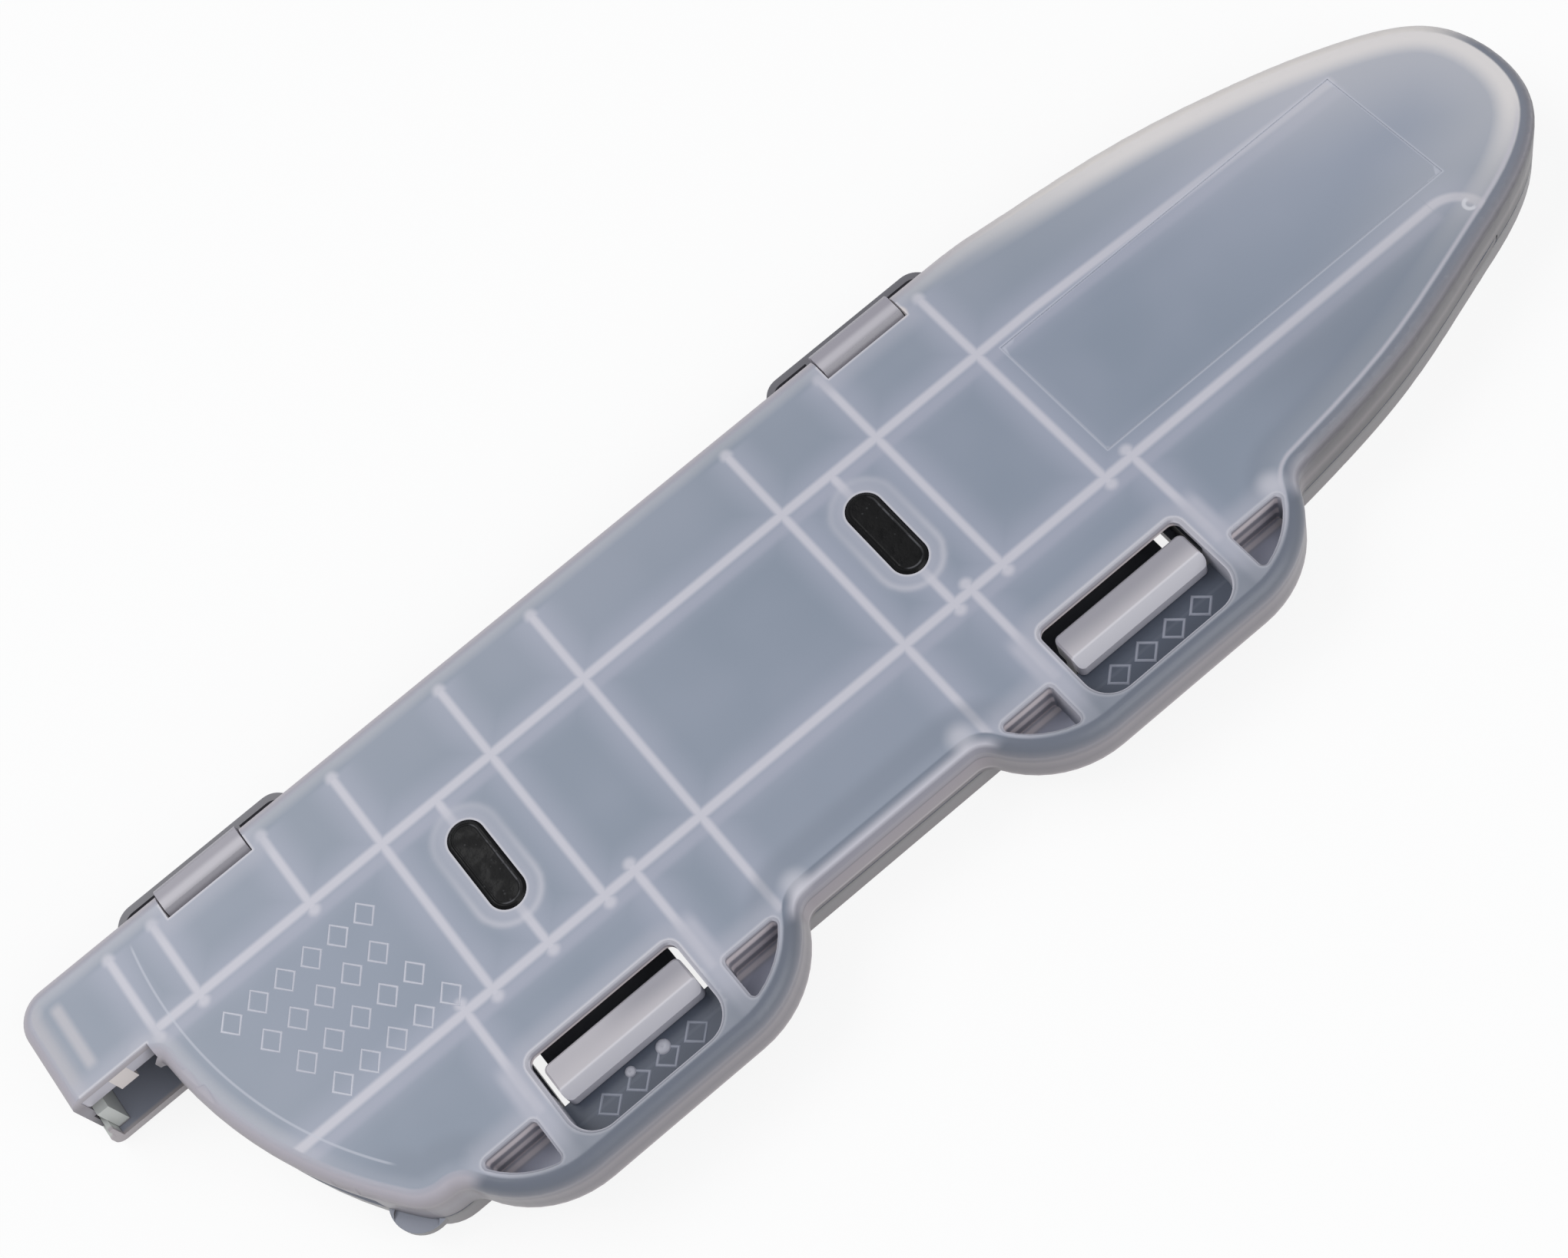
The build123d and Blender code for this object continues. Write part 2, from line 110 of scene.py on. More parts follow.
def ramp(tree, value, low, high, start=0.0, end=1.0):
    # A smooth step: start below low, end above high.
    node = addNode(tree, "ShaderNodeMapRange", interpolation_type="SMOOTHSTEP")
    feed(tree, node.inputs["Value"], value)
    node.inputs["From Min"].default_value = low
    node.inputs["From Max"].default_value = high
    node.inputs["To Min"].default_value = start
    node.inputs["To Max"].default_value = end
    return node.outputs["Result"]


def blendColour(tree, factor, first, second, label=None):
    node = addNode(tree, "ShaderNodeMix", label, data_type="RGBA", clamp_factor=True)
    feed(tree, node.inputs["Factor"], factor)
    feed(tree, node.inputs["A"], first)
    feed(tree, node.inputs["B"], second)
    return node.outputs["Result"]


def srgb(red, green, blue):
    # Turns a colour on the 0 to 255 scale into the linear one that the shader takes.
    channels = np.array([red, green, blue]) / 255.0
    linear = np.where(channels <= 0.04045, channels / 12.92, ((channels + 0.055) / 1.055) ** 2.4)
    return (*[float(value) for value in linear], 1.0)


def colourStops(tree, value, low, high, stops):
    # Colours met one after another as a value rises from low to high.
    share = addNode(tree, "ShaderNodeMapRange", clamp=True)
    feed(tree, share.inputs["Value"], value)
    share.inputs["From Min"].default_value = low
    share.inputs["From Max"].default_value = high
    node = addNode(tree, "ShaderNodeValToRGB")
    feed(tree, node.inputs["Fac"], share.outputs["Result"])
    elements = node.color_ramp.elements
    while len(elements) < len(stops):
        elements.new(0.5)
    for element, (height, colour) in zip(elements, stops):
        element.position = (height - low) / (high - low)
        element.color = srgb(*colour)
    return node.outputs["Color"]


def between(tree, value, low, high, soft):
    # 1 between low and high, 0 outside, with soft sides.
    rise = ramp(tree, value, low - soft, low + soft)
    fall = ramp(tree, value, high - soft, high + soft, 1.0, 0.0)
    return maths(tree, "MULTIPLY", rise, fall)


def fold(tree, operation, values):
    # Joins all the values by one operation.
    result = values[0]
    for value in values[1:]:
        result = maths(tree, operation, result, value)
    return result


def product(tree, *values):
    return fold(tree, "MULTIPLY", values)


def gap(tree, value, place):
    # How far a value is from a place, either way.
    return maths(tree, "ABSOLUTE", maths(tree, "SUBTRACT", value, place))


def nearest(tree, value, places):
    return fold(tree, "MINIMUM", [gap(tree, value, place) for place in places])


def nearestPoint(tree, vector, points):
    distances = []
    for point in points:
        node = addNode(tree, "ShaderNodeVectorMath", operation="DISTANCE")
        feed(tree, node.inputs[0], vector)
        node.inputs[1].default_value = point
        distances.append(node.outputs["Value"])
    return fold(tree, "MINIMUM", distances)


def sine(tree, value, turn):
    return maths(tree, "SINE", maths(tree, "MULTIPLY", value, turn))


def area(tree, fields, limits):
    # Where all the limits meet. Each names a field and gives two numbers for a soft rise, three for a window
    # and its softness, four for a step between two strengths, or none for the field as it is.
    shares = []
    for name, *numbers in limits:
        share = fields[name]
        if len(numbers) == 3:
            share = between(tree, share, *numbers)
        elif numbers:
            share = ramp(tree, share, *numbers)
        shares.append(share)
    return product(tree, *shares)


def paintMarks(tree, fields, colour, marks):
    # Each mark is a name, a colour, a strength and its limits, and is laid over the marks before it.
    for name, markColour, strength, limits in marks:
        share = maths(tree, "MULTIPLY", area(tree, fields, limits), strength)
        colour = blendColour(tree, share, colour, srgb(*markColour), name)
    return colour


def readField(tree, name):
    return addNode(tree, "ShaderNodeAttribute", attribute_name=name).outputs["Fac"]


def splitPlace(tree, vector):
    # X, Y and Z of a place, in millimetres.
    scaled = addNode(tree, "ShaderNodeVectorMath", operation="SCALE")
    feed(tree, scaled.inputs[0], vector)
    scaled.inputs["Scale"].default_value = 1000.0
    axes = addNode(tree, "ShaderNodeSeparateXYZ")
    feed(tree, axes.inputs[0], scaled.outputs[0])
    return axes.outputs["X"], axes.outputs["Y"], axes.outputs["Z"]


def joinPlace(tree, *axes):
    vector = addNode(tree, "ShaderNodeCombineXYZ")
    for index, axis in enumerate(axes):
        feed(tree, vector.inputs[index], axis)
    return vector.outputs[0]


def newGroup(name, inputs, outputs):
    # A group fed with a place and with numbers, which gives numbers.
    group = bpy.data.node_groups.new(name, "ShaderNodeTree")
    group.interface.new_socket("Vector", in_out="INPUT", socket_type="NodeSocketVector")
    for side, socketNames in (("INPUT", inputs), ("OUTPUT", outputs)):
        for socketName in socketNames:
            group.interface.new_socket(socketName, in_out=side, socket_type="NodeSocketFloat")
    start = group.nodes.new("NodeGroupInput")
    end = group.nodes.new("NodeGroupOutput")
    return group, start, end


def placeGroup(tree, group, **values):
    node = addNode(tree, "ShaderNodeGroup", node_tree=group)
    for key, value in values.items():
        feed(tree, node.inputs[key], value)
    return node


print("stage: shared effects")

# The moulded ribs behind the face, which show through the milky wall as pale lines. Millimetres.
ribSettings = {
    "longOffset": 16.3,
    "longStart": -91.0,
    "upperBend": 95.0,
    "upperEnd": 160.0,
    "upperLean": 2.6,
    "lowerStart": -92.0,
    "lowerTurn": 153.5,
    "lowerHook": 6.0,
    "fullRibs": [-2.3, 40.1],
    "halfRibs": [-44.6, -21.9, 60.6, 82.6],
    "shortRibs": [-91.1, -82.1, -59.5],
    "padRibs": casePlaces["pads"],
    "frameRibs": [-50.0, -15.8, 54.1, 88.3],
    "crossEnd": 31.9,
    "latchSide": -37.5,
    "halfWidth": 0.55,
    "longHalfWidth": 0.68,
    "softness": 0.62,
    "glowWidth": 6.5,
    "knobStep": 1.4,
    "knobFade": (0.4, 1.7, 0.9, 0.0),
    "echoShift": 2.3,
    "echoFade": (0.3, 1.7, 1.0, 0.0),
}


def makeRibGroup(settings):
    # Pale lines where ribs stand: distance from each rib's centre line, softened at its sides and ends.
    group, start, end = newGroup("ribLines", (), ("Line", "Glow", "Echo"))
    x, y, _ = splitPlace(group, start.outputs["Vector"])
    flat = joinPlace(group, x, y)
    soft = settings["softness"]
    lines, glows, echoes = [], [], []

    def window(value, low, high):
        return between(group, value, low, high, soft)

    def band(distance, halfWidth, within):
        core = ramp(group, distance, halfWidth - soft / 2, halfWidth + soft, 1.0, 0.0)
        halo = ramp(group, distance, 0.0, settings["glowWidth"], 1.0, 0.0)
        lines.append(product(group, core, within))
        glows.append(product(group, halo, within))

    upper = settings["longOffset"]
    lower = -upper
    step = settings["knobStep"]
    spans = [
        ("fullRibs", settings["latchSide"], settings["crossEnd"]),
        ("halfRibs", lower - step, settings["crossEnd"]),
        ("shortRibs", upper - step, settings["crossEnd"]),
        ("padRibs", lower - step, upper),
        ("frameRibs", settings["latchSide"], lower + step),
    ]
    for name, low, high in spans:
        band(nearest(group, x, settings[name]), settings["halfWidth"], window(y, low, high))

    # The upper long rib leans in towards the tip. Beside each long rib its foot shows as a softer band.
    slope = -settings["upperLean"] / (settings["upperEnd"] - settings["upperBend"])
    past = maths(group, "MAXIMUM", maths(group, "SUBTRACT", x, settings["upperBend"]), 0.0)
    centre = maths(group, "ADD", maths(group, "MULTIPLY", past, slope), upper)
    longRibs = [
        (centre, settings["longStart"], settings["upperEnd"]),
        (lower, settings["lowerStart"], settings["lowerTurn"]),
    ]
    for middle, low, high in longRibs:
        offset = maths(group, "SUBTRACT", y, middle)
        within = window(x, low, high)
        band(maths(group, "ABSOLUTE", offset), settings["longHalfWidth"], within)
        foot = ramp(group, gap(group, offset, -settings["echoShift"]), *settings["echoFade"])
        echoes.append(product(group, foot, within))

    # The lower long rib turns away at its end, a quarter of a circle.
    turn, hook = settings["lowerTurn"], settings["lowerHook"]
    away = gap(group, nearestPoint(group, flat, [(turn, lower - hook, 0.0)]), hook)
    rise = ramp(group, y, lower - hook - soft, lower - hook)
    band(away, settings["longHalfWidth"], product(group, ramp(group, x, turn - soft, turn), rise))

    # Round knobs where the ribs end, left by the ejector pins.
    ends = [
        (("fullRibs", "halfRibs", "shortRibs"), settings["crossEnd"]),
        (("halfRibs", "padRibs"), lower - step),
        (("shortRibs",), upper - step),
        (("frameRibs",), lower + step),
    ]
    knobs = [(place, height, 0.0) for names, height in ends for name in names for place in settings[name]]
    lines.append(ramp(group, nearestPoint(group, flat, knobs), *settings["knobFade"]))

    for name, values in (("Line", lines), ("Glow", glows), ("Echo", echoes)):
        feed(group, end.inputs[name], fold(group, "MAXIMUM", values))
    return group


ribLines = makeRibGroup(ribSettings)


grainSettings = {"fineDetail": 3.0, "waveDetail": 2.0, "fineShare": 0.25, "mottle": (0.35, 0.65)}


def makeGrainGroup(settings):
    # Fine satin mould texture with a slow waviness under it: the sum of two noises, as a height.
    group, start, end = newGroup("mouldGrain", ("Fine Scale", "Wave Scale"), ("Height", "Mottle"))

    def noise(scale, detail):
        node = addNode(group, "ShaderNodeTexNoise")
        feed(group, node.inputs["Vector"], start.outputs["Vector"])
        feed(group, node.inputs["Scale"], start.outputs[scale])
        node.inputs["Detail"].default_value = detail
        return node.outputs["Fac"]

    fine = noise("Fine Scale", settings["fineDetail"])
    wave = noise("Wave Scale", settings["waveDetail"])
    small = maths(group, "MULTIPLY", fine, settings["fineShare"])
    feed(group, end.inputs["Height"], maths(group, "ADD", small, wave))
    feed(group, end.inputs["Mottle"], ramp(group, wave, *settings["mottle"]))
    return group


mouldGrain = makeGrainGroup(grainSettings)

print("stage: shells")

# How the merged shell surfaces are cut and what is measured on them. Millimetres.
skinSettings = {
    "mergeDistance": 0.002,
    "cell": 2.1,
    "cutX": (-108.3, 183.0),
    "cutY": (-48.6, 41.0),
    "sharpAngle": 30.0,
    "top": 16.0,
    "topSlack": 0.05,
    "flatNormal": 0.999,
    "roundStart": 13.4,
    "roundSlack": 0.02,
    "rimStep": 2.75,
    "label": (85.0, 161.0, -13.2, 15.0),
    "flatWeight": 80,
}
batchSize = 2000         # points measured at a time, which keeps the arrays small


def readPoints(mesh):
    points = np.empty(len(mesh.vertices) * 3)
    mesh.vertices.foreach_get("co", points)
    return points.reshape(-1, 3)


def writePoints(mesh, points):
    mesh.vertices.foreach_set("co", points.ravel())
    mesh.update()


def segmentDistance(points, starts, ends):
    # Plan distance from each point to the nearest of many segments: the point is dropped onto each
    # segment's line, the foot is held between its ends, and the shortest of the lengths is kept.
    along = ends - starts
    lengths = np.maximum((along**2).sum(axis=1), 1e-12)
    shortest = np.empty(len(points))
    for first in range(0, len(points), batchSize):
        offset = points[first:first + batchSize, None, :] - starts[None]
        share = np.clip((offset * along[None]).sum(axis=2) / lengths[None], 0.0, 1.0)
        left = offset - share[:, :, None] * along[None]
        shortest[first:first + batchSize] = np.sqrt((left**2).sum(axis=2).min(axis=1))
    return shortest


def planSegments(edges):
    ends = np.array([[vert.co[:2] for vert in edge.verts] for edge in edges]) / mm
    return ends[:, 0], ends[:, 1]


def mergedMesh(name, settings, fields):
    # A merged copy of a CAD node. Where fields are measured on it, its flat faces are cut small so that
    # the distances follow the surface.
    work = bmesh.new()
    work.from_mesh(nodes[name].data)
    bmesh.ops.remove_doubles(work, verts=work.verts, dist=settings["mergeDistance"] * mm)
    work.normal_update()
    measured = {field: planSegments(pick(work, settings)) for field, pick in fields.items()}
    # Upright cuts across X, then across Y.
    cuts = (settings["cutX"], settings["cutY"]) if fields else ()
    for axis, (low, high) in enumerate(cuts):
        for place in np.arange(low, high, settings["cell"]):
            point, across = np.zeros(3), np.zeros(3)
            point[axis], across[axis] = place * mm, 1.0
            every = work.verts[:] + work.edges[:] + work.faces[:]
            bmesh.ops.bisect_plane(work, geom=every, dist=1e-7, plane_co=point, plane_no=across)
    for edge in work.edges:
        edge.smooth = edge.calc_face_angle(0.0) < np.radians(settings["sharpAngle"])
    for face in work.faces:
        face.smooth = True
    mesh = bpy.data.meshes.new(name + "Surface")
    work.to_mesh(mesh)
    work.free()
    # The normals stored with the CAD's triangles no longer fit the merged faces.
    stored = mesh.attributes.get("custom_normal")
    if stored:
        mesh.attributes.remove(stored)
    points = readPoints(mesh)[:, :2] / mm
    for field, (starts, ends) in measured.items():
        attribute = mesh.attributes.new(field, "FLOAT", "POINT")
        attribute.data.foreach_set("value", segmentDistance(points, starts, ends).astype(np.float32))
    return mesh


def frontWallEdges(work, settings):
    # The line where the front's upright wall turns into its rounded edge.
    height, slack = settings["roundStart"] * mm, settings["roundSlack"] * mm
    return [edge for edge in work.edges if all(abs(vert.co.z - height) < slack for vert in edge.verts)]


def topEdges(work, settings):
    # Every line where the flat face ends.
    height = (settings["top"] - settings["topSlack"]) * mm

    def onTop(face):
        return face.normal.z > settings["flatNormal"] and face.calc_center_median().z > height

    return [edge for edge in work.edges if sum(onTop(face) for face in edge.link_faces) == 1]


def inLabel(edge, settings):
    middle = (edge.verts[0].co + edge.verts[1].co) / 2 / mm
    low, high, near, far = settings["label"]
    return low < middle.x < high and near < middle.y < far


def openingEdges(work, settings):
    # The flat face's edges at its openings, without its outer rim and the label's outline.
    edges = [edge for edge in topEdges(work, settings) if not inLabel(edge, settings)]
    rim = segmentDistance(sum(planSegments(edges)) / 2, *planSegments(frontWallEdges(work, settings)))
    return [edge for edge, away in zip(edges, rim) if away > settings["rimStep"]]


def labelEdges(work, settings):
    return [edge for edge in topEdges(work, settings) if inLabel(edge, settings)]


def holdFlats(piece, settings):
    # Broad flat faces keep their own normals beside the small ones of a rounded edge.
    weights = piece.modifiers.new("flatNormals", "WEIGHTED_NORMAL")
    weights.keep_sharp = True
    weights.weight = settings["flatWeight"]


def addPiece(name, mesh, material, body):
    piece = bpy.data.objects.new(name, mesh)
    bpy.context.scene.collection.objects.link(piece)
    mesh.materials.clear()
    mesh.materials.append(material)
    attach(piece, body)
    return piece


# The milky plastic's colours, as they look over the wall's own depth and over what lies behind it.
shellSettings = {
    "face": (136, 146, 162),
    "faceLight": (163, 168, 185),
    "rib": (208, 206, 215),
    "echo": (168, 171, 187),
    "halo": (176, 178, 191),
    "ivory": (222, 214, 212),
    "mottleShare": 0.22,
    "glowShare": 0.6,
    "echoShare": 0.6,
    "ribShare": 0.8,
    "raisedShare": 0.5,
    "roughness": 0.38,
    "refraction": 1.49,
    "fineScale": 2600.0,
    "waveScale": 38.0,
    "grainStrength": 0.12,
    "grainDistance": 0.0002,
}

# Colours of the front's side against height in millimetres, from the skirt's foot to the face. The pale stops near the
# top of the latch side, where the edge rounds over, are a painted highlight.
frontHeights = (6.0, 16.0)
brightSide = [
    (6.3, (114, 111, 117)), (7.4, (132, 128, 134)), (10.0, (142, 139, 146)), (12.6, (138, 133, 139)),
    (13.6, (150, 145, 151)), (14.8, (170, 165, 172)), (15.7, (182, 178, 187)), (16.0, (168, 169, 181)),
]
tipSide = [
    (6.3, (112, 109, 114)), (8.6, (128, 124, 129)), (11.0, (132, 128, 133)), (13.0, (142, 137, 141)),
    (13.8, (172, 165, 167)), (15.0, (206, 201, 201)), (16.0, (222, 217, 214)),
]
tipWall = [
    (6.3, (74, 71, 75)), (8.0, (90, 87, 91)), (9.6, (118, 113, 116)), (11.0, (94, 91, 95)), (13.2, (80, 78, 83)),
    (14.4, (104, 102, 108)), (15.0, (136, 134, 141)), (15.5, (124, 125, 134)), (16.0, (124, 129, 141)),
]
# The latch side: the pale stop at 15.3 mm is a painted highlight along the rounded edge.
latchWall = [
    (6.3, (96, 91, 97)), (7.1, (112, 107, 112)), (7.5, (170, 164, 168)), (8.1, (146, 139, 145)),
    (11.4, (142, 135, 143)), (11.8, (116, 112, 120)), (12.3, (138, 135, 145)), (14.7, (146, 145, 156)),
    (15.3, (196, 195, 205)), (15.7, (158, 160, 172)), (16.0, (118, 127, 142)),
]
lobeSide = [
    (6.3, (176, 168, 172)), (7.2, (134, 129, 134)), (9.2, (122, 118, 124)), (11.4, (136, 131, 137)),
    (12.4, (120, 117, 125)), (13.6, (128, 127, 136)), (14.3, (120, 122, 132)), (15.1, (112, 117, 128)),
    (16.0, (108, 114, 127)),
]

# What is measured for the front's marks, and where its face gives way to its sides. Millimetres.
frontSettings = {
    "bandTurn": (70.0, 125.0),
    "bandNarrow": (2.6, 5.2, 0.7, 0.0),
    "bandBroad": (3.8, 8.8, 0.88, 0.0),
    "bandGlow": [("rim", 4.0, 26.0, 1.0, 0.0), ("x", 120.0, 160.0, 0.12, 0.3)],
    "curl": (158.2, -20.4, 16.0),
    "curlRadius": 1.0,
    "heelCentre": (-9.0, 18.3, 0.0),
    "heelRadius": 78.9,
    "pin": (78.6, 32.0, 15.6),
    # Centres of the painted highlights where the lobes meet the straight side.
    "glintCentres": [(36.5, -34.6, 15.8), (100.6, -35.7, 15.8), (2.0, -35.5, 15.8)],
    "tipTurn": (90.0, 178.0, 0.0, -26.0),
    "flat": [("rim", 2.2, 2.65), ("z", 15.55, 15.7)],
    "farEnd": (70.0, 120.0),
    "farSide": (97.0, 112.0),
    "latchSide": [("turned", -26.0, -14.0, 1.0, 0.0), ("x", -66.0, -60.0)],
    "lobeSide": (-40.5, -37.6, 1.0, 0.0),
}

# Marks on the broad face, each laid over the ones before it: name, colour, strength and limits.
faceMarks = [
    ("tipLight", (170, 175, 190), 0.55, [("x", 92.0, 150.0), ("y", -22.0, 8.0)]),
    ("tipShade", (112, 120, 134), 0.4, [("x", 100.0, 125.0), ("y", -22.0, -14.0, 1.0, 0.0)]),
    ("overLobe", (114, 121, 133), 0.9, [("y", -42.5, -37.5, 1.0, 0.0)]),
    # Painted shade: a soft dark band on the face just inside the latch side.
    ("latchSideShade", (124, 133, 148), 0.5,
     [("y", -30.0, -22.0, 1.0, 0.0), ("y", -38.0, -36.5), ("rim", 3.6, 8.0, 1.6)]),
    ("tipBand", (230, 225, 223), 1.0, [("band",), ("x", 60.0, 135.0, 0.35, 1.0), ("y", -26.0, -9.0, 0.12, 1.0)]),
    ("curlRing", (222, 222, 228), 0.7, [("curl", 0.15, 0.5, 1.0, 0.0), ("x", 158.0, 158.9, 1.0, 0.0)]),
    ("tipBorder", (196, 193, 202), 0.75, [("rim", 2.6, 3.2, 0.3), ("x", 92.0, 105.0), ("y", -16.0, -10.0, 1.0, 0.0)]),
    ("heelEdge", shellSettings["halo"], 0.2, [("rim", 2.4, 5.0, 1.0, 0.0), ("x", -70.0, -55.0, 1.0, 0.0)]),
    ("neckEnd", (182, 179, 185), 0.6, [("x", -106.4, -103.6, 1.0, 0.0)]),
    ("neckBar", (204, 199, 203), 0.6, [("x", -103.3, -101.4, 0.7), ("y", 18.5, 31.5, 1.0)]),
    ("wellBars", (192, 192, 204), 1.0,
     [("fromWell", 16.0, 19.6, 0.9), ("y", -48.0, -38.0, 0.1, 0.62), ("y", -30.0, -26.0, 1.0, 0.0)]),
    ("heelStep", (196, 199, 210), 0.55,
     [("fromStep", 0.08, 0.3, 1.0, 0.0), ("x", -72.0, -70.0, 1.0, 0.0), ("y", -28.0, 31.0, 1.0)]),
    ("labelLine", (198, 201, 212), 0.5, [("label", 0.1, 0.38, 1.0, 0.0)]),
    ("openingHalo", shellSettings["halo"], 0.62, [("opening", 0.4, 4.4, 1.0, 0.0), ("y", -45.5, -40.0, 0.35, 1.0)]),
    ("padRings", (204, 203, 212), 1.0,
     [("fromPad", 7.5, 8.5, 1.0, 0.0), ("y", -14.0, 15.0, 0.5), ("y", -8.0, 8.0, 0.55, 0.25),
      ("opening", 2.0, 2.9, 0.65)]),
    # Painted highlight: a thin pale line along the edge of every opening, weaker inside the lobes.
    ("openingEdgeHighlight", (214, 212, 218), 1.0, [("opening", 0.1, 0.55, 1.0, 0.0), ("y", -40.0, -34.0, 0.22, 0.66)]),
]

# The pin's end, and painted highlights where each lobe leaves the straight side.
sideMarks = [
    ("pinEnd", shellSettings["ivory"], 1.0, [("fromPin", 0.9, 1.7, 0.85, 0.0)]),
    # Painted highlights at the corners where the lobes leave the straight side.
    ("lobeCornerGlints", (216, 214, 222), 1.0, [("fromGlint", 0.4, 3.6, 0.5, 0.0), ("z", 13.6, 15.0)]),
]

# The notches' narrow walls, which catch light through the plastic, the case's inside and the neck's inner tab.
innerMarks = [
    ("notchWalls", (246, 242, 243), 0.95,
     [("y", 27.0, 27.6), ("z", 15.3, 15.8, 1.0, 0.0), ("normalZ", 0.2, 0.5, 1.0, 0.0),
      ("fromHinge", 9.4, 9.8, 1.0, 0.0)]),
    ("caseInside", (140, 147, 162), 1.0, [("rim", 2.75, 3.0), ("normalZ", -0.4, -0.8), ("z", 15.3, 15.6, 1.0, 0.0)]),
    ("neckTab", shellSettings["ivory"], 1.0,
     [("x", -102.4, -98.0, 0.1), ("z", 14.0, 14.2, 1.0, 0.0), ("y", 15.0, 20.0, 0.2)]),
]

# Inside the lobes: dark plates over paler floors, with pale stripes on the walls and along the floors' foot that are
# painted reflections.
lobeSettings = {
    "inside": [("rim", 2.75, 3.0), ("z", 15.4, 15.9, 1.0, 0.0), ("y", -28.8, -28.2, 1.0, 0.0)],
    "wall": ((134, 138, 149), (206, 205, 214)),
    "wallRise": (9.0, 15.6),
    "bands": ((150, 148, 158), (238, 228, 230)),
    "bandTurn": 1.9,
    "bandFacing": (-0.8, -0.5, 1.0, 0.0),
    "floor": ((192, 195, 211), (82, 89, 103)),
    "floorRise": (8.6, 9.4),
    "ripple": (150, 155, 167),
    "rippleTurn": 1.7,
    "rippleFade": (0.8, 1.0, 0.0, 0.08),
    "floorReflections": ((176, 174, 184), (240, 232, 234)),
    "stepTurn": 3.4,
    "foot": [("y", -39.6, -38.6), ("z", 8.6, 9.4, 0.85, 0.0)],
    "floorFacing": (0.7, 0.9),
}
waveLimits = (-0.9, 0.9)         # where a sine's stripes turn from their first colour to their second


def newPlastic(name):
    material, tree = newTree(name)
    output = addNode(tree, "ShaderNodeOutputMaterial")
    shader = addNode(tree, "ShaderNodeBsdfPrincipled")
    tree.links.new(shader.outputs[0], output.inputs["Surface"])
    return material, tree, shader


def placeGrain(tree, place, settings):
    return placeGroup(tree, mouldGrain, **{
        "Vector": place, "Fine Scale": settings["fineScale"], "Wave Scale": settings["waveScale"],
    })


def addBump(tree, shader, height, settings):
    bump = addNode(tree, "ShaderNodeBump")
    bump.inputs["Strength"].default_value = settings["grainStrength"]
    bump.inputs["Distance"].default_value = settings["grainDistance"]
    tree.links.new(height, bump.inputs["Height"])
    tree.links.new(bump.outputs["Normal"], shader.inputs["Normal"])


def startMaterial(name, settings):
    # A satin plastic's shader with its mould grain, ready for a colour, and the fields that every mark can name.
    material, tree, shader = newPlastic(name)
    coordinates = addNode(tree, "ShaderNodeTexCoord")
    place = coordinates.outputs["Object"]
    grain = placeGrain(tree, place, settings)
    shader.inputs["Roughness"].default_value = settings["roughness"]
    shader.inputs["IOR"].default_value = settings["refraction"]
    addBump(tree, shader, grain.outputs["Height"], settings)
    normal = addNode(tree, "ShaderNodeSeparateXYZ")
    feed(tree, normal.inputs[0], coordinates.outputs["Normal"])
    x, y, z = splitPlace(tree, place)
    fields = {"x": x, "y": y, "z": z, "normalY": normal.outputs["Y"], "normalZ": normal.outputs["Z"]}
    return material, tree, shader, place, fields, grain.outputs["Mottle"]


def faceColour(tree, settings, place, mottle):
    # The broad face: slow light and dark areas, lighter beside the ribs, and the ribs themselves.
    ribs = placeGroup(tree, ribLines, Vector=place)
    light = maths(tree, "MULTIPLY", mottle, settings["mottleShare"])
    glow = maths(tree, "MULTIPLY", ribs.outputs["Glow"], settings["glowShare"])
    light = maths(tree, "ADD", light, glow, clamp=True)
    colour = blendColour(tree, light, srgb(*settings["face"]), srgb(*settings["faceLight"]))
    fields = {"echo": ribs.outputs["Echo"], "line": ribs.outputs["Line"]}
    return paintMarks(tree, fields, colour, [
        ("ribFeet", settings["echo"], settings["echoShare"], [("echo",)]),
        ("ribs", settings["rib"], settings["ribShare"], [("line",)]),
    ])


def pairBlend(tree, factor, pair):
    return blendColour(tree, factor, srgb(*pair[0]), srgb(*pair[1]))


def measureFront(tree, fields, settings):
    # The distances that the front's marks name, on top of the ones stored on its mesh.
    x, y, z = (fields[name] for name in "xyz")
    solid, plan = joinPlace(tree, x, y, z), joinPlace(tree, x, y)
    for name in ("rim", "opening", "label"):
        fields[name] = readField(tree, name)
    for name, places in (("fromWell", "wells"), ("fromPad", "pads"), ("fromHinge", "hinges")):
        fields[name] = nearest(tree, x, casePlaces[places])
    fields["curl"] = gap(tree, nearestPoint(tree, solid, [settings["curl"]]), settings["curlRadius"])
    fields["fromStep"] = gap(tree, nearestPoint(tree, plan, [settings["heelCentre"]]), settings["heelRadius"])
    fields["fromPin"] = nearestPoint(tree, solid, [settings["pin"]])
    fields["fromGlint"] = nearestPoint(tree, solid, settings["glintCentres"])
    fields["turned"] = maths(tree, "ADD", y, ramp(tree, x, *settings["tipTurn"]))

    # The pale band inside the rounded end is narrow along the hinge side and broad at the far end.
    band = addNode(tree, "ShaderNodeMix", data_type="FLOAT")
    feed(tree, band.inputs["Factor"], ramp(tree, x, *settings["bandTurn"]))
    feed(tree, band.inputs["A"], ramp(tree, fields["rim"], *settings["bandNarrow"]))
    feed(tree, band.inputs["B"], ramp(tree, fields["rim"], *settings["bandBroad"]))
    glow = area(tree, fields, settings["bandGlow"])
    fields["band"] = maths(tree, "MAXIMUM", band.outputs["Result"], glow)


def outerColour(tree, fields, settings):
    # The rounded edge and the upright side.
    x, y, z = (fields[name] for name in "xyz")
    bright, tip, latch, tipLatch, lobe = (
        colourStops(tree, z, *frontHeights, stops) for stops in (brightSide, tipSide, latchWall, tipWall, lobeSide)
    )
    bright = blendColour(tree, ramp(tree, x, *settings["farEnd"]), bright, tip)
    side = blendColour(tree, ramp(tree, x, *settings["farSide"]), latch, tipLatch)
    outer = blendColour(tree, area(tree, fields, settings["latchSide"]), bright, side)
    return blendColour(tree, ramp(tree, y, *settings["lobeSide"]), outer, lobe)


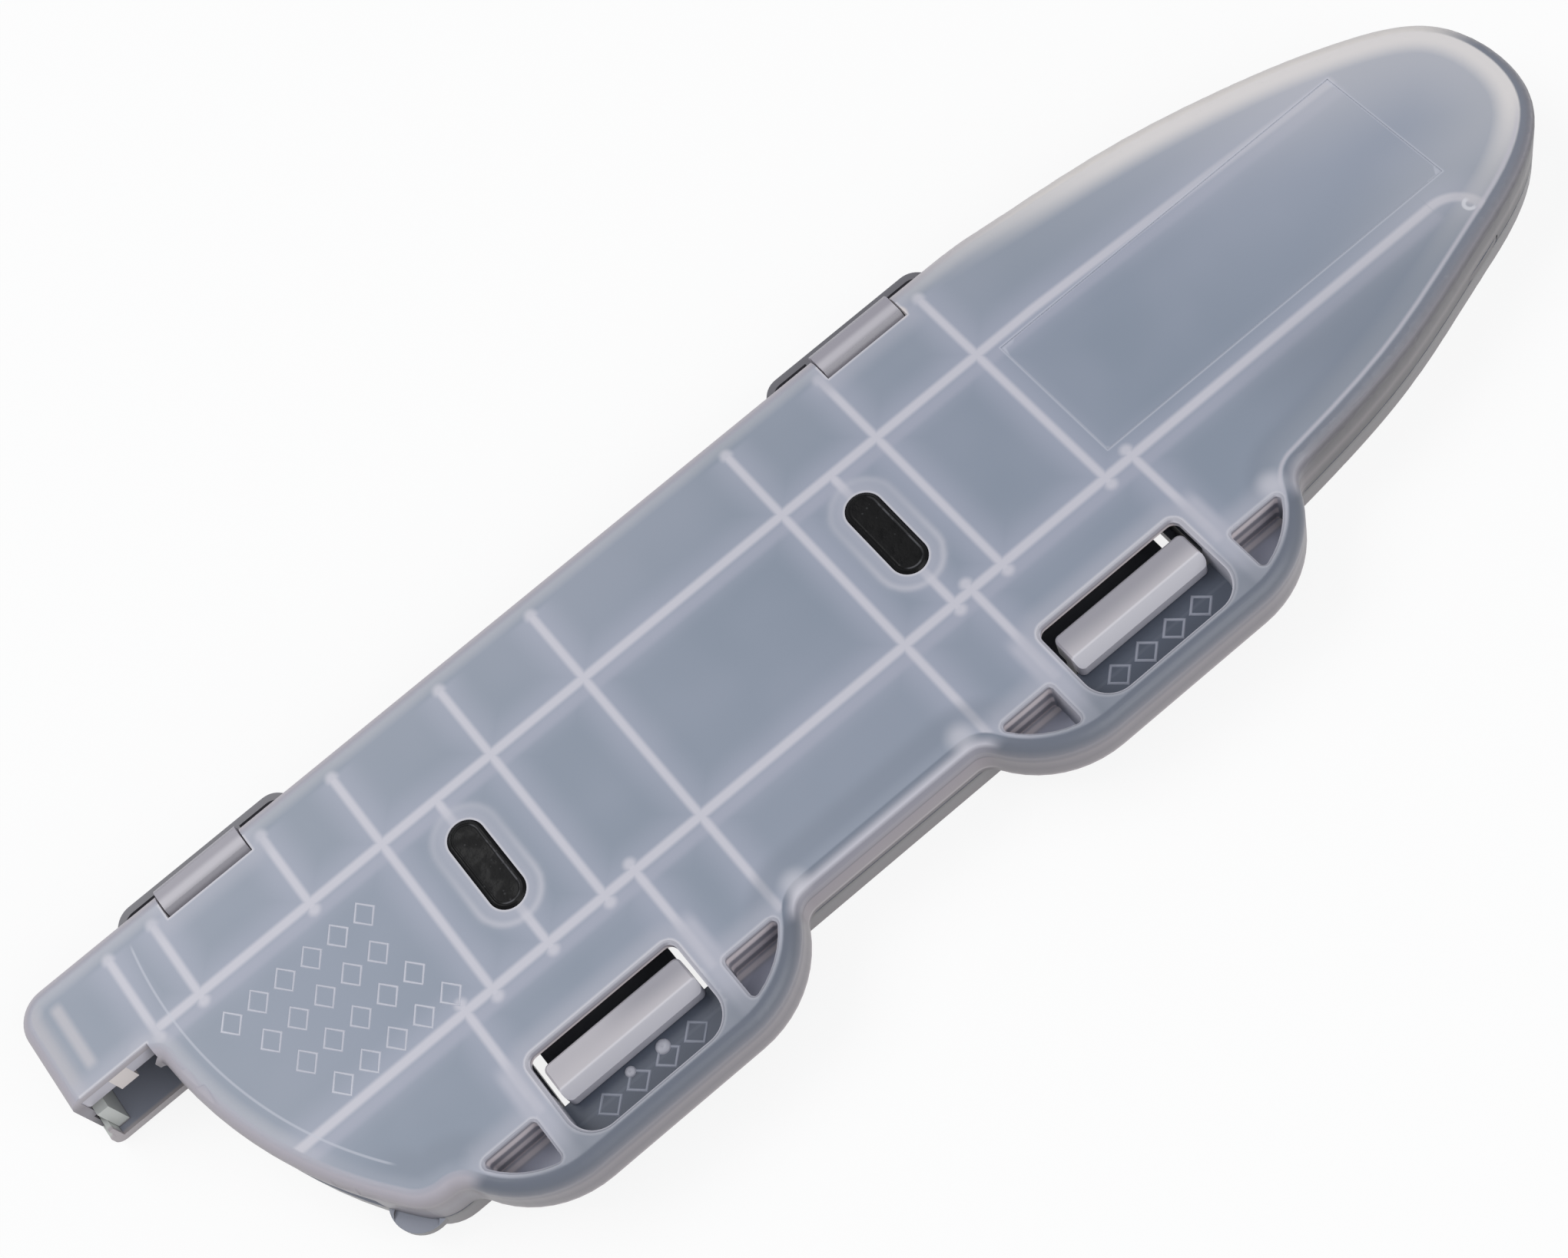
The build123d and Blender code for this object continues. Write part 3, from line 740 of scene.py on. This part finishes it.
def hollowColour(tree, fields, settings):
    y, z = fields["y"], fields["z"]
    # Pale stripes on the walls and along the floors' foot: painted reflections.
    bands = pairBlend(tree, ramp(tree, sine(tree, z, settings["bandTurn"]), *waveLimits), settings["bands"])
    floorReflections = pairBlend(tree, ramp(tree, sine(tree, y, settings["stepTurn"]), *waveLimits), settings["floorReflections"])
    wall = pairBlend(tree, ramp(tree, z, *settings["wallRise"]), settings["wall"])
    wall = blendColour(tree, ramp(tree, fields["normalY"], *settings["bandFacing"]), wall, bands)
    floor = pairBlend(tree, ramp(tree, z, *settings["floorRise"]), settings["floor"])
    ripple = ramp(tree, sine(tree, fields["rim"], settings["rippleTurn"]), *settings["rippleFade"])
    floor = blendColour(tree, ripple, floor, srgb(*settings["ripple"]))
    floor = blendColour(tree, area(tree, fields, settings["foot"]), floor, floorReflections)
    return blendColour(tree, ramp(tree, fields["normalZ"], *settings["floorFacing"]), wall, floor)


def makeFrontMaterial(settings, measures, lobes):
    material, tree, shader, place, fields, mottle = startMaterial("frontPlastic", settings)
    measureFront(tree, fields, measures)
    face = paintMarks(tree, fields, faceColour(tree, settings, place, mottle), faceMarks)
    colour = blendColour(tree, area(tree, fields, measures["flat"]), outerColour(tree, fields, measures), face)
    colour = paintMarks(tree, fields, colour, sideMarks)
    colour = blendColour(tree, area(tree, fields, lobes["inside"]), colour, hollowColour(tree, fields, lobes))
    colour = paintMarks(tree, fields, colour, innerMarks)
    tree.links.new(colour, shader.inputs["Base Color"])
    return material


# Colours of the back's outer side against height in millimetres, from its resting face to the parting line.
backHeights = (0.0, 6.0)
backSide = [
    (0.0, (196, 188, 192)), (0.7, (170, 163, 167)), (1.6, (124, 119, 122)), (4.6, (122, 120, 123)),
    (5.5, (112, 111, 112)), (6.0, (90, 86, 90)),
]
backSettings = {
    "upright": (0.55, 0.97, 1.0, 0.0),
    "hook": [("z", 7.5, 8.5), ("y", 28.0, 29.0)],
    "bulge": [("y", 36.7, 37.1), ("z", 2.6, 4.0), ("z", 8.0, 7.0, 0.0, 1.0)],
    "bulgeRise": (38.6, 39.8),
    "bulgeColours": ((150, 147, 152), (232, 226, 230)),
}

# The plain inside, the neck's end wall, which is a shade greener, and the pale cut edge beside it.
backMarks = [
    ("inside", (142, 146, 159), 1.0, [("z", 1.2, 1.7), ("normalZ", 0.3, 0.8)]),
    ("neckWall", (196, 199, 196), 1.0, [("x", -103.5, -102.8, 1.0, 0.0), ("z", 1.9, 2.6)]),
    ("cutEdge", (172, 166, 169), 1.0, [("y", 13.6, 13.0), ("y", 12.2, 12.5), ("x", -93.0, -93.6)]),
]

# The hinge hooks: a darker rolled nose, a painted highlight along the crest, a flat pale top, and painted shade at
# their foot.
hookNose = (150, 148, 155)
hookMarks = [
    ("crest", (190, 187, 194), 1.0, [("y", 32.2, 33.6)]),
    # Painted highlight along the crest.
    ("top", (158, 155, 164), 1.0, [("y", 34.0, 35.2)]),
    # Painted shade at the foot.
    ("foot", (120, 119, 125), 1.0, [("z", 11.5, 14.8, 1.0, 0.0)]),
]


def makeBackMaterial(settings, measures):
    material, tree, shader, place, fields, mottle = startMaterial("backPlastic", settings)
    colour = faceColour(tree, settings, place, mottle)
    upright = ramp(tree, maths(tree, "ABSOLUTE", fields["normalZ"]), *measures["upright"])
    colour = blendColour(tree, upright, colour, colourStops(tree, fields["z"], *backHeights, backSide))
    colour = paintMarks(tree, fields, colour, backMarks)
    hook = paintMarks(tree, fields, srgb(*hookNose), hookMarks)
    colour = blendColour(tree, area(tree, fields, measures["hook"]), colour, hook)
    bulge = pairBlend(tree, ramp(tree, fields["y"], *measures["bulgeRise"]), measures["bulgeColours"])
    colour = blendColour(tree, area(tree, fields, measures["bulge"]), colour, bulge)
    tree.links.new(colour, shader.inputs["Base Color"])
    return material


# The latch hooks: a grey head with a paler nose strip, which is painted light where it faces outwards, and a painted
# highlight along its crest, on a darker stem, and the head's reach past the solid's.
headSettings = {
    "top": (156, 154, 162), "lean": 1.2, "crestLine": -36.5, "floor": (0.3, 1.2, 1.0, 0.0),
    "innerLine": -33.5, "lowest": 10.4, "reach": 0.8, "endLine": 11.9, "stretch": 0.5,
}
headLight = (198, 194, 199)
headMarks = [
    ("innerSide", headLight, 1.0, [("lean", -36.0, -31.8, 1.0, 0.0)]),
    ("heelHead", headLight, 1.0, [("x", -26.0, -38.0, 0.0, 0.6)]),
    # A painted highlight along the head's crest line.
    ("crest", (232, 230, 236), 1.0, [("fromCrest", 0.2, 0.7, 0.8, 0.0)]),
    # The nose strip lighter where it faces outwards: painted light.
    ("nose", (190, 189, 197), 1.0, [("normalY", -0.5, -0.2, 1.0, 0.0)]),
    ("stem", (130, 131, 139), 1.0, [("z", 9.5, 11.5, 1.0, 0.0)]),
]


def makeHeadMaterial(settings, head):
    material, tree, shader, place, fields, mottle = startMaterial("hookPlastic", settings)
    fields["lean"] = maths(tree, "ADD", fields["y"], maths(tree, "MULTIPLY", mottle, head["lean"]))
    fields["fromCrest"] = gap(tree, fields["y"], head["crestLine"])
    colour = paintMarks(tree, fields, srgb(*head["top"]), headMarks)
    below = ramp(tree, fields["z"], *head["floor"])
    colour = blendColour(tree, below, colour, faceColour(tree, settings, place, mottle))
    tree.links.new(colour, shader.inputs["Base Color"])
    return material


def widenHead(mesh, middle, settings):
    # Every point of the head's inner side, those above its underside and behind a line, moves back by the reach,
    # and every point of its far end moves along by the stretch.
    points = readPoints(mesh)
    head = points[:, 2] > settings["lowest"] * mm
    inner = head & (points[:, 1] > settings["innerLine"] * mm)
    farEnd = head & (points[:, 0] > (middle + settings["endLine"]) * mm)
    points[:, 1] += np.where(inner, settings["reach"] * mm, 0.0)
    points[:, 0] += np.where(farEnd, settings["stretch"] * mm, 0.0)
    writePoints(mesh, points)


hookSettings = {"half": 8.1, "slack": 0.05, "reach": 0.35, "lowest": 7.0, "innermost": 28.0}


def widenHooks(mesh, settings):
    # The hinge hooks' end faces move outwards by the reach, which narrows the gaps beside them.
    points = readPoints(mesh)
    hook = (points[:, 2] > settings["lowest"] * mm) & (points[:, 1] > settings["innermost"] * mm)
    for middle in casePlaces["hinges"]:
        offset = points[:, 0] / mm - middle
        atEnd = hook & (np.abs(np.abs(offset) - settings["half"]) < settings["slack"])
        points[:, 0] += np.where(atEnd, np.sign(offset) * settings["reach"] * mm, 0.0)
    writePoints(mesh, points)


frontPlastic = makeFrontMaterial(shellSettings, frontSettings, lobeSettings)
backPlastic = makeBackMaterial(shellSettings, backSettings)
hookPlastic = makeHeadMaterial(shellSettings, headSettings)

frontFields = {"rim": frontWallEdges, "opening": openingEdges, "label": labelEdges}
frontSkin = addPiece("frontSkin", mergedMesh("front_shell", skinSettings, frontFields), frontPlastic, "front")
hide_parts("front_shell")
holdFlats(frontSkin, skinSettings)
backMesh = mergedMesh("back_shell", skinSettings, {})
widenHooks(backMesh, hookSettings)
backSkin = addPiece("backSkin", backMesh, backPlastic, "back")
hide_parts("back_shell")
holdFlats(backSkin, skinSettings)
for name, body, middle in zip(("latch_hook_heel", "latch_hook_tip"), ("latch_heel", "latch_tip"), casePlaces["wells"]):
    hookMesh = mergedMesh(name, skinSettings, {})
    widenHead(hookMesh, middle, headSettings)
    hookSkin = addPiece(name.replace("latch_hook_", "hookSkin_"), hookMesh, hookPlastic, body)
    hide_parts(name)

print("stage: neck edge")

# The strip that turns down along the neck's cut edge. Millimetres.
flangeSettings = {
    "start": -107.6, "stop": -93.6, "front": 15.5, "thick": 1.1, "low": 11.0, "high": 15.2,
    "round": 0.35, "arc": 4, "endShare": 0.8, "stand": 0.02, "sharpAngle": 40.0,
}


def roundedLoop(width, height, radius, floorReflections):
    # A rectangle whose corners are quarter circles: each corner's centre plus the radius at evenly
    # spaced angles of its own quarter turn.
    turn = np.linspace(0.0, np.pi / 2, floorReflections)
    starts = np.array([0.0, 0.5, 1.0, 1.5]) * np.pi
    centre = np.array([(1, 1), (-1, 1), (-1, -1), (1, -1)]) * (np.array([width, height]) / 2 - radius)
    angle = starts[:, None] + turn[None]
    points = centre[:, None, :] + radius * np.stack([np.cos(angle), np.sin(angle)], axis=2)
    return points.reshape(-1, 2)


def makeFlange(settings, material):
    # The rounded loop carried straight along X, shrunk a little at both ends to soften them.
    loop = roundedLoop(settings["thick"], settings["high"] - settings["low"], settings["round"], settings["arc"])
    start, stop, edge = settings["start"], settings["stop"], settings["round"]
    along = np.array([start, start + edge, stop - edge, stop])
    shrink = np.array([settings["endShare"], 1.0, 1.0, settings["endShare"]])
    middle = settings["front"] + settings["thick"] / 2 + settings["stand"]
    centre = np.array([middle, (settings["low"] + settings["high"]) / 2])
    plan = centre[None, None] + loop[None] * shrink[:, None, None]
    lengthwise = np.broadcast_to(along[:, None, None], (*plan.shape[:2], 1))
    points = np.concatenate([lengthwise, plan], axis=2).reshape(-1, 3) * mm
    index = np.arange(len(points)).reshape(len(along), len(loop))
    ahead = np.roll(index, -1, axis=1)
    sides = np.stack([index[:-1], ahead[:-1], ahead[1:], index[1:]], axis=2).reshape(-1, 4)
    mesh = bpy.data.meshes.new("neckFlange")
    mesh.from_pydata(points.tolist(), [], sides.tolist() + [index[0][::-1].tolist(), index[-1].tolist()])
    work = bmesh.new()
    work.from_mesh(mesh)
    bmesh.ops.recalc_face_normals(work, faces=work.faces)
    work.to_mesh(mesh)
    work.free()
    mesh.shade_smooth()
    mesh.set_sharp_from_angle(angle=np.radians(settings["sharpAngle"]))
    addPiece("neckFlange", mesh, material, "front")


print("stage: raised shapes")

# Plain raised diamonds: four in each latch well and a small block of them near the heel. Millimetres.
diamondSettings = {
    "crest": 0.35,
    "cornerShare": 1.4,
    "wellSteps": [-8.6, -2.9, 2.9, 8.6],
    "wellY": -41.6,
    "faceRows": [(-80.6, 8.4, 6), (-77.0, 1.5, 5), (-74.4, -5.4, 5), (-71.8, -12.3, 5)],
    "faceStep": 5.4,
}
wellShape = {"half": (2.2, 2.1), "base": 10.45, "height": 0.17, "line": 0.3, "colour": (128, 134, 147)}
faceShape = {"half": (2.0, 2.45), "base": 15.95, "height": 0.14, "line": 0.24, "colour": (204, 206, 216)}


def makeDiamonds(name, centres, settings, shape, material):
    # Each diamond is a thin ridge carried round four corners: a corner is the centre plus or minus a half
    # width, pushed out by the ridge's own width, and four such rings, low and high, close the ridge.
    corners = np.array([(1.0, 0.0), (0.0, 1.0), (-1.0, 0.0), (0.0, -1.0)])
    grow = np.array([1.0, settings["crest"], -settings["crest"], -1.0]) * shape["line"]
    rise = np.array([0.0, 1.0, 1.0, 0.0]) * shape["height"]
    reach = np.array(shape["half"])[None, :] + grow[:, None] * settings["cornerShare"]
    plan = np.asarray(centres)[:, None, None, :] + corners[None, :, None, :] * reach[None, None, :, :]
    heights = np.broadcast_to(shape["base"] + rise, plan.shape[:3])
    points = np.concatenate([plan, heights[..., None]], axis=3).reshape(-1, 3) * mm
    index = np.arange(len(points)).reshape(len(centres), len(grow), len(corners))
    ahead = np.roll(index, -1, axis=1)
    faces = np.stack([index, ahead, np.roll(ahead, -1, axis=2), np.roll(index, -1, axis=2)], axis=3).reshape(-1, 4)
    mesh = bpy.data.meshes.new(name)
    mesh.from_pydata(points.tolist(), [], faces.tolist())
    addPiece(name, mesh, material, "front")


def makeRaisedMaterial(name, settings, colour):
    # A plain colour that turns part of the way to the halo's where the mould's waves are light.
    material, tree, shader, _, _, mottle = startMaterial(name, settings)
    share = maths(tree, "MULTIPLY", mottle, settings["raisedShare"])
    mixed = blendColour(tree, share, srgb(*colour), srgb(*settings["halo"]))
    tree.links.new(mixed, shader.inputs["Base Color"])
    return material


makeFlange(flangeSettings, makeRaisedMaterial("neckEdge", shellSettings, (194, 190, 198)))
wellCentres = [
    (place + step, diamondSettings["wellY"]) for place in casePlaces["wells"] for step in diamondSettings["wellSteps"]
]
faceCentres = [
    (start + diamondSettings["faceStep"] * k, y)
    for start, y, count in diamondSettings["faceRows"] for k in range(count)
]
wellLine = makeRaisedMaterial("wellLine", shellSettings, wellShape["colour"])
makeDiamonds("wellDiamonds", wellCentres, diamondSettings, wellShape, wellLine)
faceLine = makeRaisedMaterial("faceLine", shellSettings, faceShape["colour"])
makeDiamonds("faceDiamonds", faceCentres, diamondSettings, faceShape, faceLine)

# Two small round pips on the heel-side plate. Millimetres.
pipSettings = {
    "pips": [(-36.0, -39.6, 0.95), (-29.7, -39.9, 1.3)], "base": 10.45, "height": 0.5,
    "dimple": 0.18, "rings": 12, "turns": 32, "mergeDistance": 0.001,
}


def makePip(name, x, y, radius, settings, material):
    # A ring turned about its own upright axis: the height swells and falls with the distance from the
    # axis as the square root of a half wave, with a shallow dimple left in the middle.
    share = np.linspace(0.0, 1.0, settings["rings"])
    turn = np.linspace(0.0, 2 * np.pi, settings["turns"], endpoint=False)
    phase = np.clip(share * (1.0 - settings["dimple"]) + settings["dimple"], 0.0, 1.0)
    lift = settings["height"] * np.sqrt(np.clip(np.sin(np.pi * phase), 0.0, 1.0))
    across = radius * share
    points = np.stack([
        x + across[:, None] * np.cos(turn)[None],
        y + across[:, None] * np.sin(turn)[None],
        np.broadcast_to((settings["base"] + lift)[:, None], (len(share), len(turn))),
    ], axis=2).reshape(-1, 3) * mm
    index = np.arange(len(points)).reshape(len(share), len(turn))
    ahead = np.roll(index, -1, axis=1)
    faces = np.stack([index[:-1], index[1:], ahead[1:], ahead[:-1]], axis=2).reshape(-1, 4)
    mesh = bpy.data.meshes.new(name)
    mesh.from_pydata(points.tolist(), [], faces.tolist())
    work = bmesh.new()
    work.from_mesh(mesh)
    bmesh.ops.remove_doubles(work, verts=work.verts, dist=settings["mergeDistance"] * mm)
    work.to_mesh(mesh)
    work.free()
    mesh.shade_smooth()
    addPiece(name, mesh, material, "front")


pipPlastic = makeRaisedMaterial("pipPlastic", shellSettings, (182, 182, 190))
for number, (x, y, radius) in enumerate(pipSettings["pips"]):
    makePip("pip" + str(number + 1), x, y, radius, pipSettings, pipPlastic)

print("stage: grip pads")

padSettings = {
    "black": (10, 10, 11),
    "fleck": (66, 66, 68),
    "sheen": (92, 92, 96),
    "centreY": 1.3,
    "halfLength": 9.1,
    "halfWidth": 3.3,
    "fineScale": 2600.0,
    "waveScale": 420.0,
    "speckScale": 850.0,
    "creaseInset": 0.95,
    "creaseFade": (0.06, 0.24, 1.0, 0.0),
    "creaseDepth": 1.2,
    "wornSide": (1.6, 2.3),
    "wornEnd": (-5.7, -6.7),
    "roughness": 0.3,
    "roughnessRange": 0.2,
    "shine": 0.18,
    "grainStrength": 0.45,
    "grainDistance": 0.00025,
}

# Grey flecks, and a painted highlight along a crease inside the right side and the lower end, where the light catches
# it.
padMarks = [
    ("flecks", padSettings["fleck"], 0.55, [("speck", 0.08, 0.22, 1.0, 0.0), ("mottle", 0.3, 0.8)]),
    ("crease", padSettings["sheen"], 0.75, [("crease",), ("mottle", 0.2, 0.7, 0.35, 1.0), ("worn",)]),
]


def makePadMaterial(settings, centreX, name):
    material, tree, shader = newPlastic(name)
    place = addNode(tree, "ShaderNodeTexCoord").outputs["Object"]
    x, y, _ = splitPlace(tree, place)
    grain = placeGrain(tree, place, settings)
    mottle = grain.outputs["Mottle"]
    specks = addNode(tree, "ShaderNodeTexVoronoi")
    feed(tree, specks.inputs["Vector"], place)
    specks.inputs["Scale"].default_value = settings["speckScale"]

    # Distance inside the pad's own outline, a slot shape: how far from its middle line, less the half width.
    straight = settings["halfLength"] - settings["halfWidth"]
    overEnd = maths(tree, "SUBTRACT", gap(tree, y, settings["centreY"]), straight)
    overEnd = maths(tree, "MAXIMUM", overEnd, 0.0)
    across = maths(tree, "SUBTRACT", x, centreX)
    squares = [maths(tree, "MULTIPLY", value, value) for value in (across, overEnd)]
    inset = maths(tree, "SUBTRACT", settings["halfWidth"], maths(tree, "SQRT", maths(tree, "ADD", *squares)))
    crease = ramp(tree, gap(tree, inset, settings["creaseInset"]), *settings["creaseFade"])
    # The crease's painted highlight is kept to the right side and the lower end, where the light falls.
    lowerEnd = ramp(tree, y, *settings["wornEnd"])
    worn = maths(tree, "MAXIMUM", ramp(tree, across, *settings["wornSide"]), lowerEnd)

    fields = {"speck": specks.outputs["Distance"], "mottle": mottle, "crease": crease, "worn": worn}
    tree.links.new(paintMarks(tree, fields, srgb(*settings["black"]), padMarks), shader.inputs["Base Color"])
    rough = settings["roughness"]
    feed(tree, shader.inputs["Roughness"], ramp(tree, mottle, 0.0, 1.0, rough, rough + settings["roughnessRange"]))
    shader.inputs["Specular IOR Level"].default_value = settings["shine"]
    depth = maths(tree, "MULTIPLY", crease, settings["creaseDepth"])
    addBump(tree, shader, maths(tree, "SUBTRACT", grain.outputs["Height"], depth), settings)
    return material


for end, centreX in zip(("heel", "tip"), casePlaces["pads"]):
    rubber = makePadMaterial(padSettings, centreX, "gripRubber_" + end)
    for side in ("front_pad_", "back_pad_"):
        padData = nodes[side + end].data
        padData.materials.clear()
        padData.materials.append(rubber)

print("stage: floor and light")

stageSettings = {"floorSize": 6.0, "floorHeight": -0.0004, "floorColour": 0.93, "ownGlow": 0.86}


def mixShaders(tree, share, first, second, output):
    mix = addNode(tree, "ShaderNodeMixShader")
    for socket, value in zip(mix.inputs, (share, first, second)):
        feed(tree, socket, value)
    tree.links.new(mix.outputs[0], output.inputs["Surface"])


def makeFloor(settings):
    half = settings["floorSize"] / 2
    corners = [(-half, -half), (half, -half), (half, half), (-half, half)]
    mesh = bpy.data.meshes.new("floor")
    mesh.from_pydata([(x, y, settings["floorHeight"]) for x, y in corners], [], [(0, 1, 2, 3)])
    floor = bpy.data.objects.new("floor", mesh)
    bpy.context.scene.collection.objects.link(floor)
    material, tree = newTree("paleFloor")
    output = addNode(tree, "ShaderNodeOutputMaterial")
    matte = addNode(tree, "ShaderNodeBsdfDiffuse")
    matte.inputs["Color"].default_value = (settings["floorColour"],) * 3 + (1.0,)
    white = addNode(tree, "ShaderNodeEmission")
    white.inputs["Color"].default_value = (1.0, 1.0, 1.0, 1.0)
    path = addNode(tree, "ShaderNodeLightPath")
    seen = maths(tree, "MAXIMUM", path.outputs["Is Camera Ray"], path.outputs["Is Glossy Ray"])
    seen = maths(tree, "MAXIMUM", seen, path.outputs["Is Transmission Ray"])
    glow = maths(tree, "MULTIPLY", seen, settings["ownGlow"])
    mixShaders(tree, glow, matte.outputs[0], white.outputs[0], output)
    mesh.materials.append(material)


makeFloor(stageSettings)

lightSettings = [
    {"name": "keyBox", "place": (-0.55, 0.75, 1.25), "aim": (0.03, 0.0, 0.0), "size": (1.3, 0.9), "power": 10.5},
    {"name": "fillBox", "place": (0.45, -0.95, 0.8), "aim": (0.03, 0.0, 0.0), "size": (1.0, 1.0), "power": 7.0},
]


def makeLight(settings):
    lightData = bpy.data.lights.new(settings["name"], "AREA")
    lightData.shape = "RECTANGLE"
    lightData.size, lightData.size_y = settings["size"]
    lightData.energy = settings["power"]
    light = bpy.data.objects.new(settings["name"], lightData)
    bpy.context.scene.collection.objects.link(light)
    away = Vector(settings["place"]) - Vector(settings["aim"])
    light.matrix_world = Matrix.Translation(settings["place"]) @ away.to_track_quat("Z", "Y").to_matrix().to_4x4()


for settings in lightSettings:
    makeLight(settings)


# A soft bluish white lights the object, and the camera sees plain white.
worldSettings = {"soft": (0.95, 0.97, 1.0, 1.0), "power": 0.42}


def makeWorld(settings):
    world = bpy.data.worlds.new("studio")
    world.use_nodes = True
    tree = world.node_tree
    tree.nodes.clear()
    output = addNode(tree, "ShaderNodeOutputWorld")
    soft = addNode(tree, "ShaderNodeBackground")
    soft.inputs["Color"].default_value = settings["soft"]
    soft.inputs["Strength"].default_value = settings["power"]
    white = addNode(tree, "ShaderNodeBackground")
    white.inputs["Color"].default_value = (1.0, 1.0, 1.0, 1.0)
    path = addNode(tree, "ShaderNodeLightPath")
    mixShaders(tree, path.outputs["Is Camera Ray"], soft.outputs[0], white.outputs[0], output)
    bpy.context.scene.world = world


makeWorld(worldSettings)
bpy.context.scene.view_settings.view_transform = "Standard"
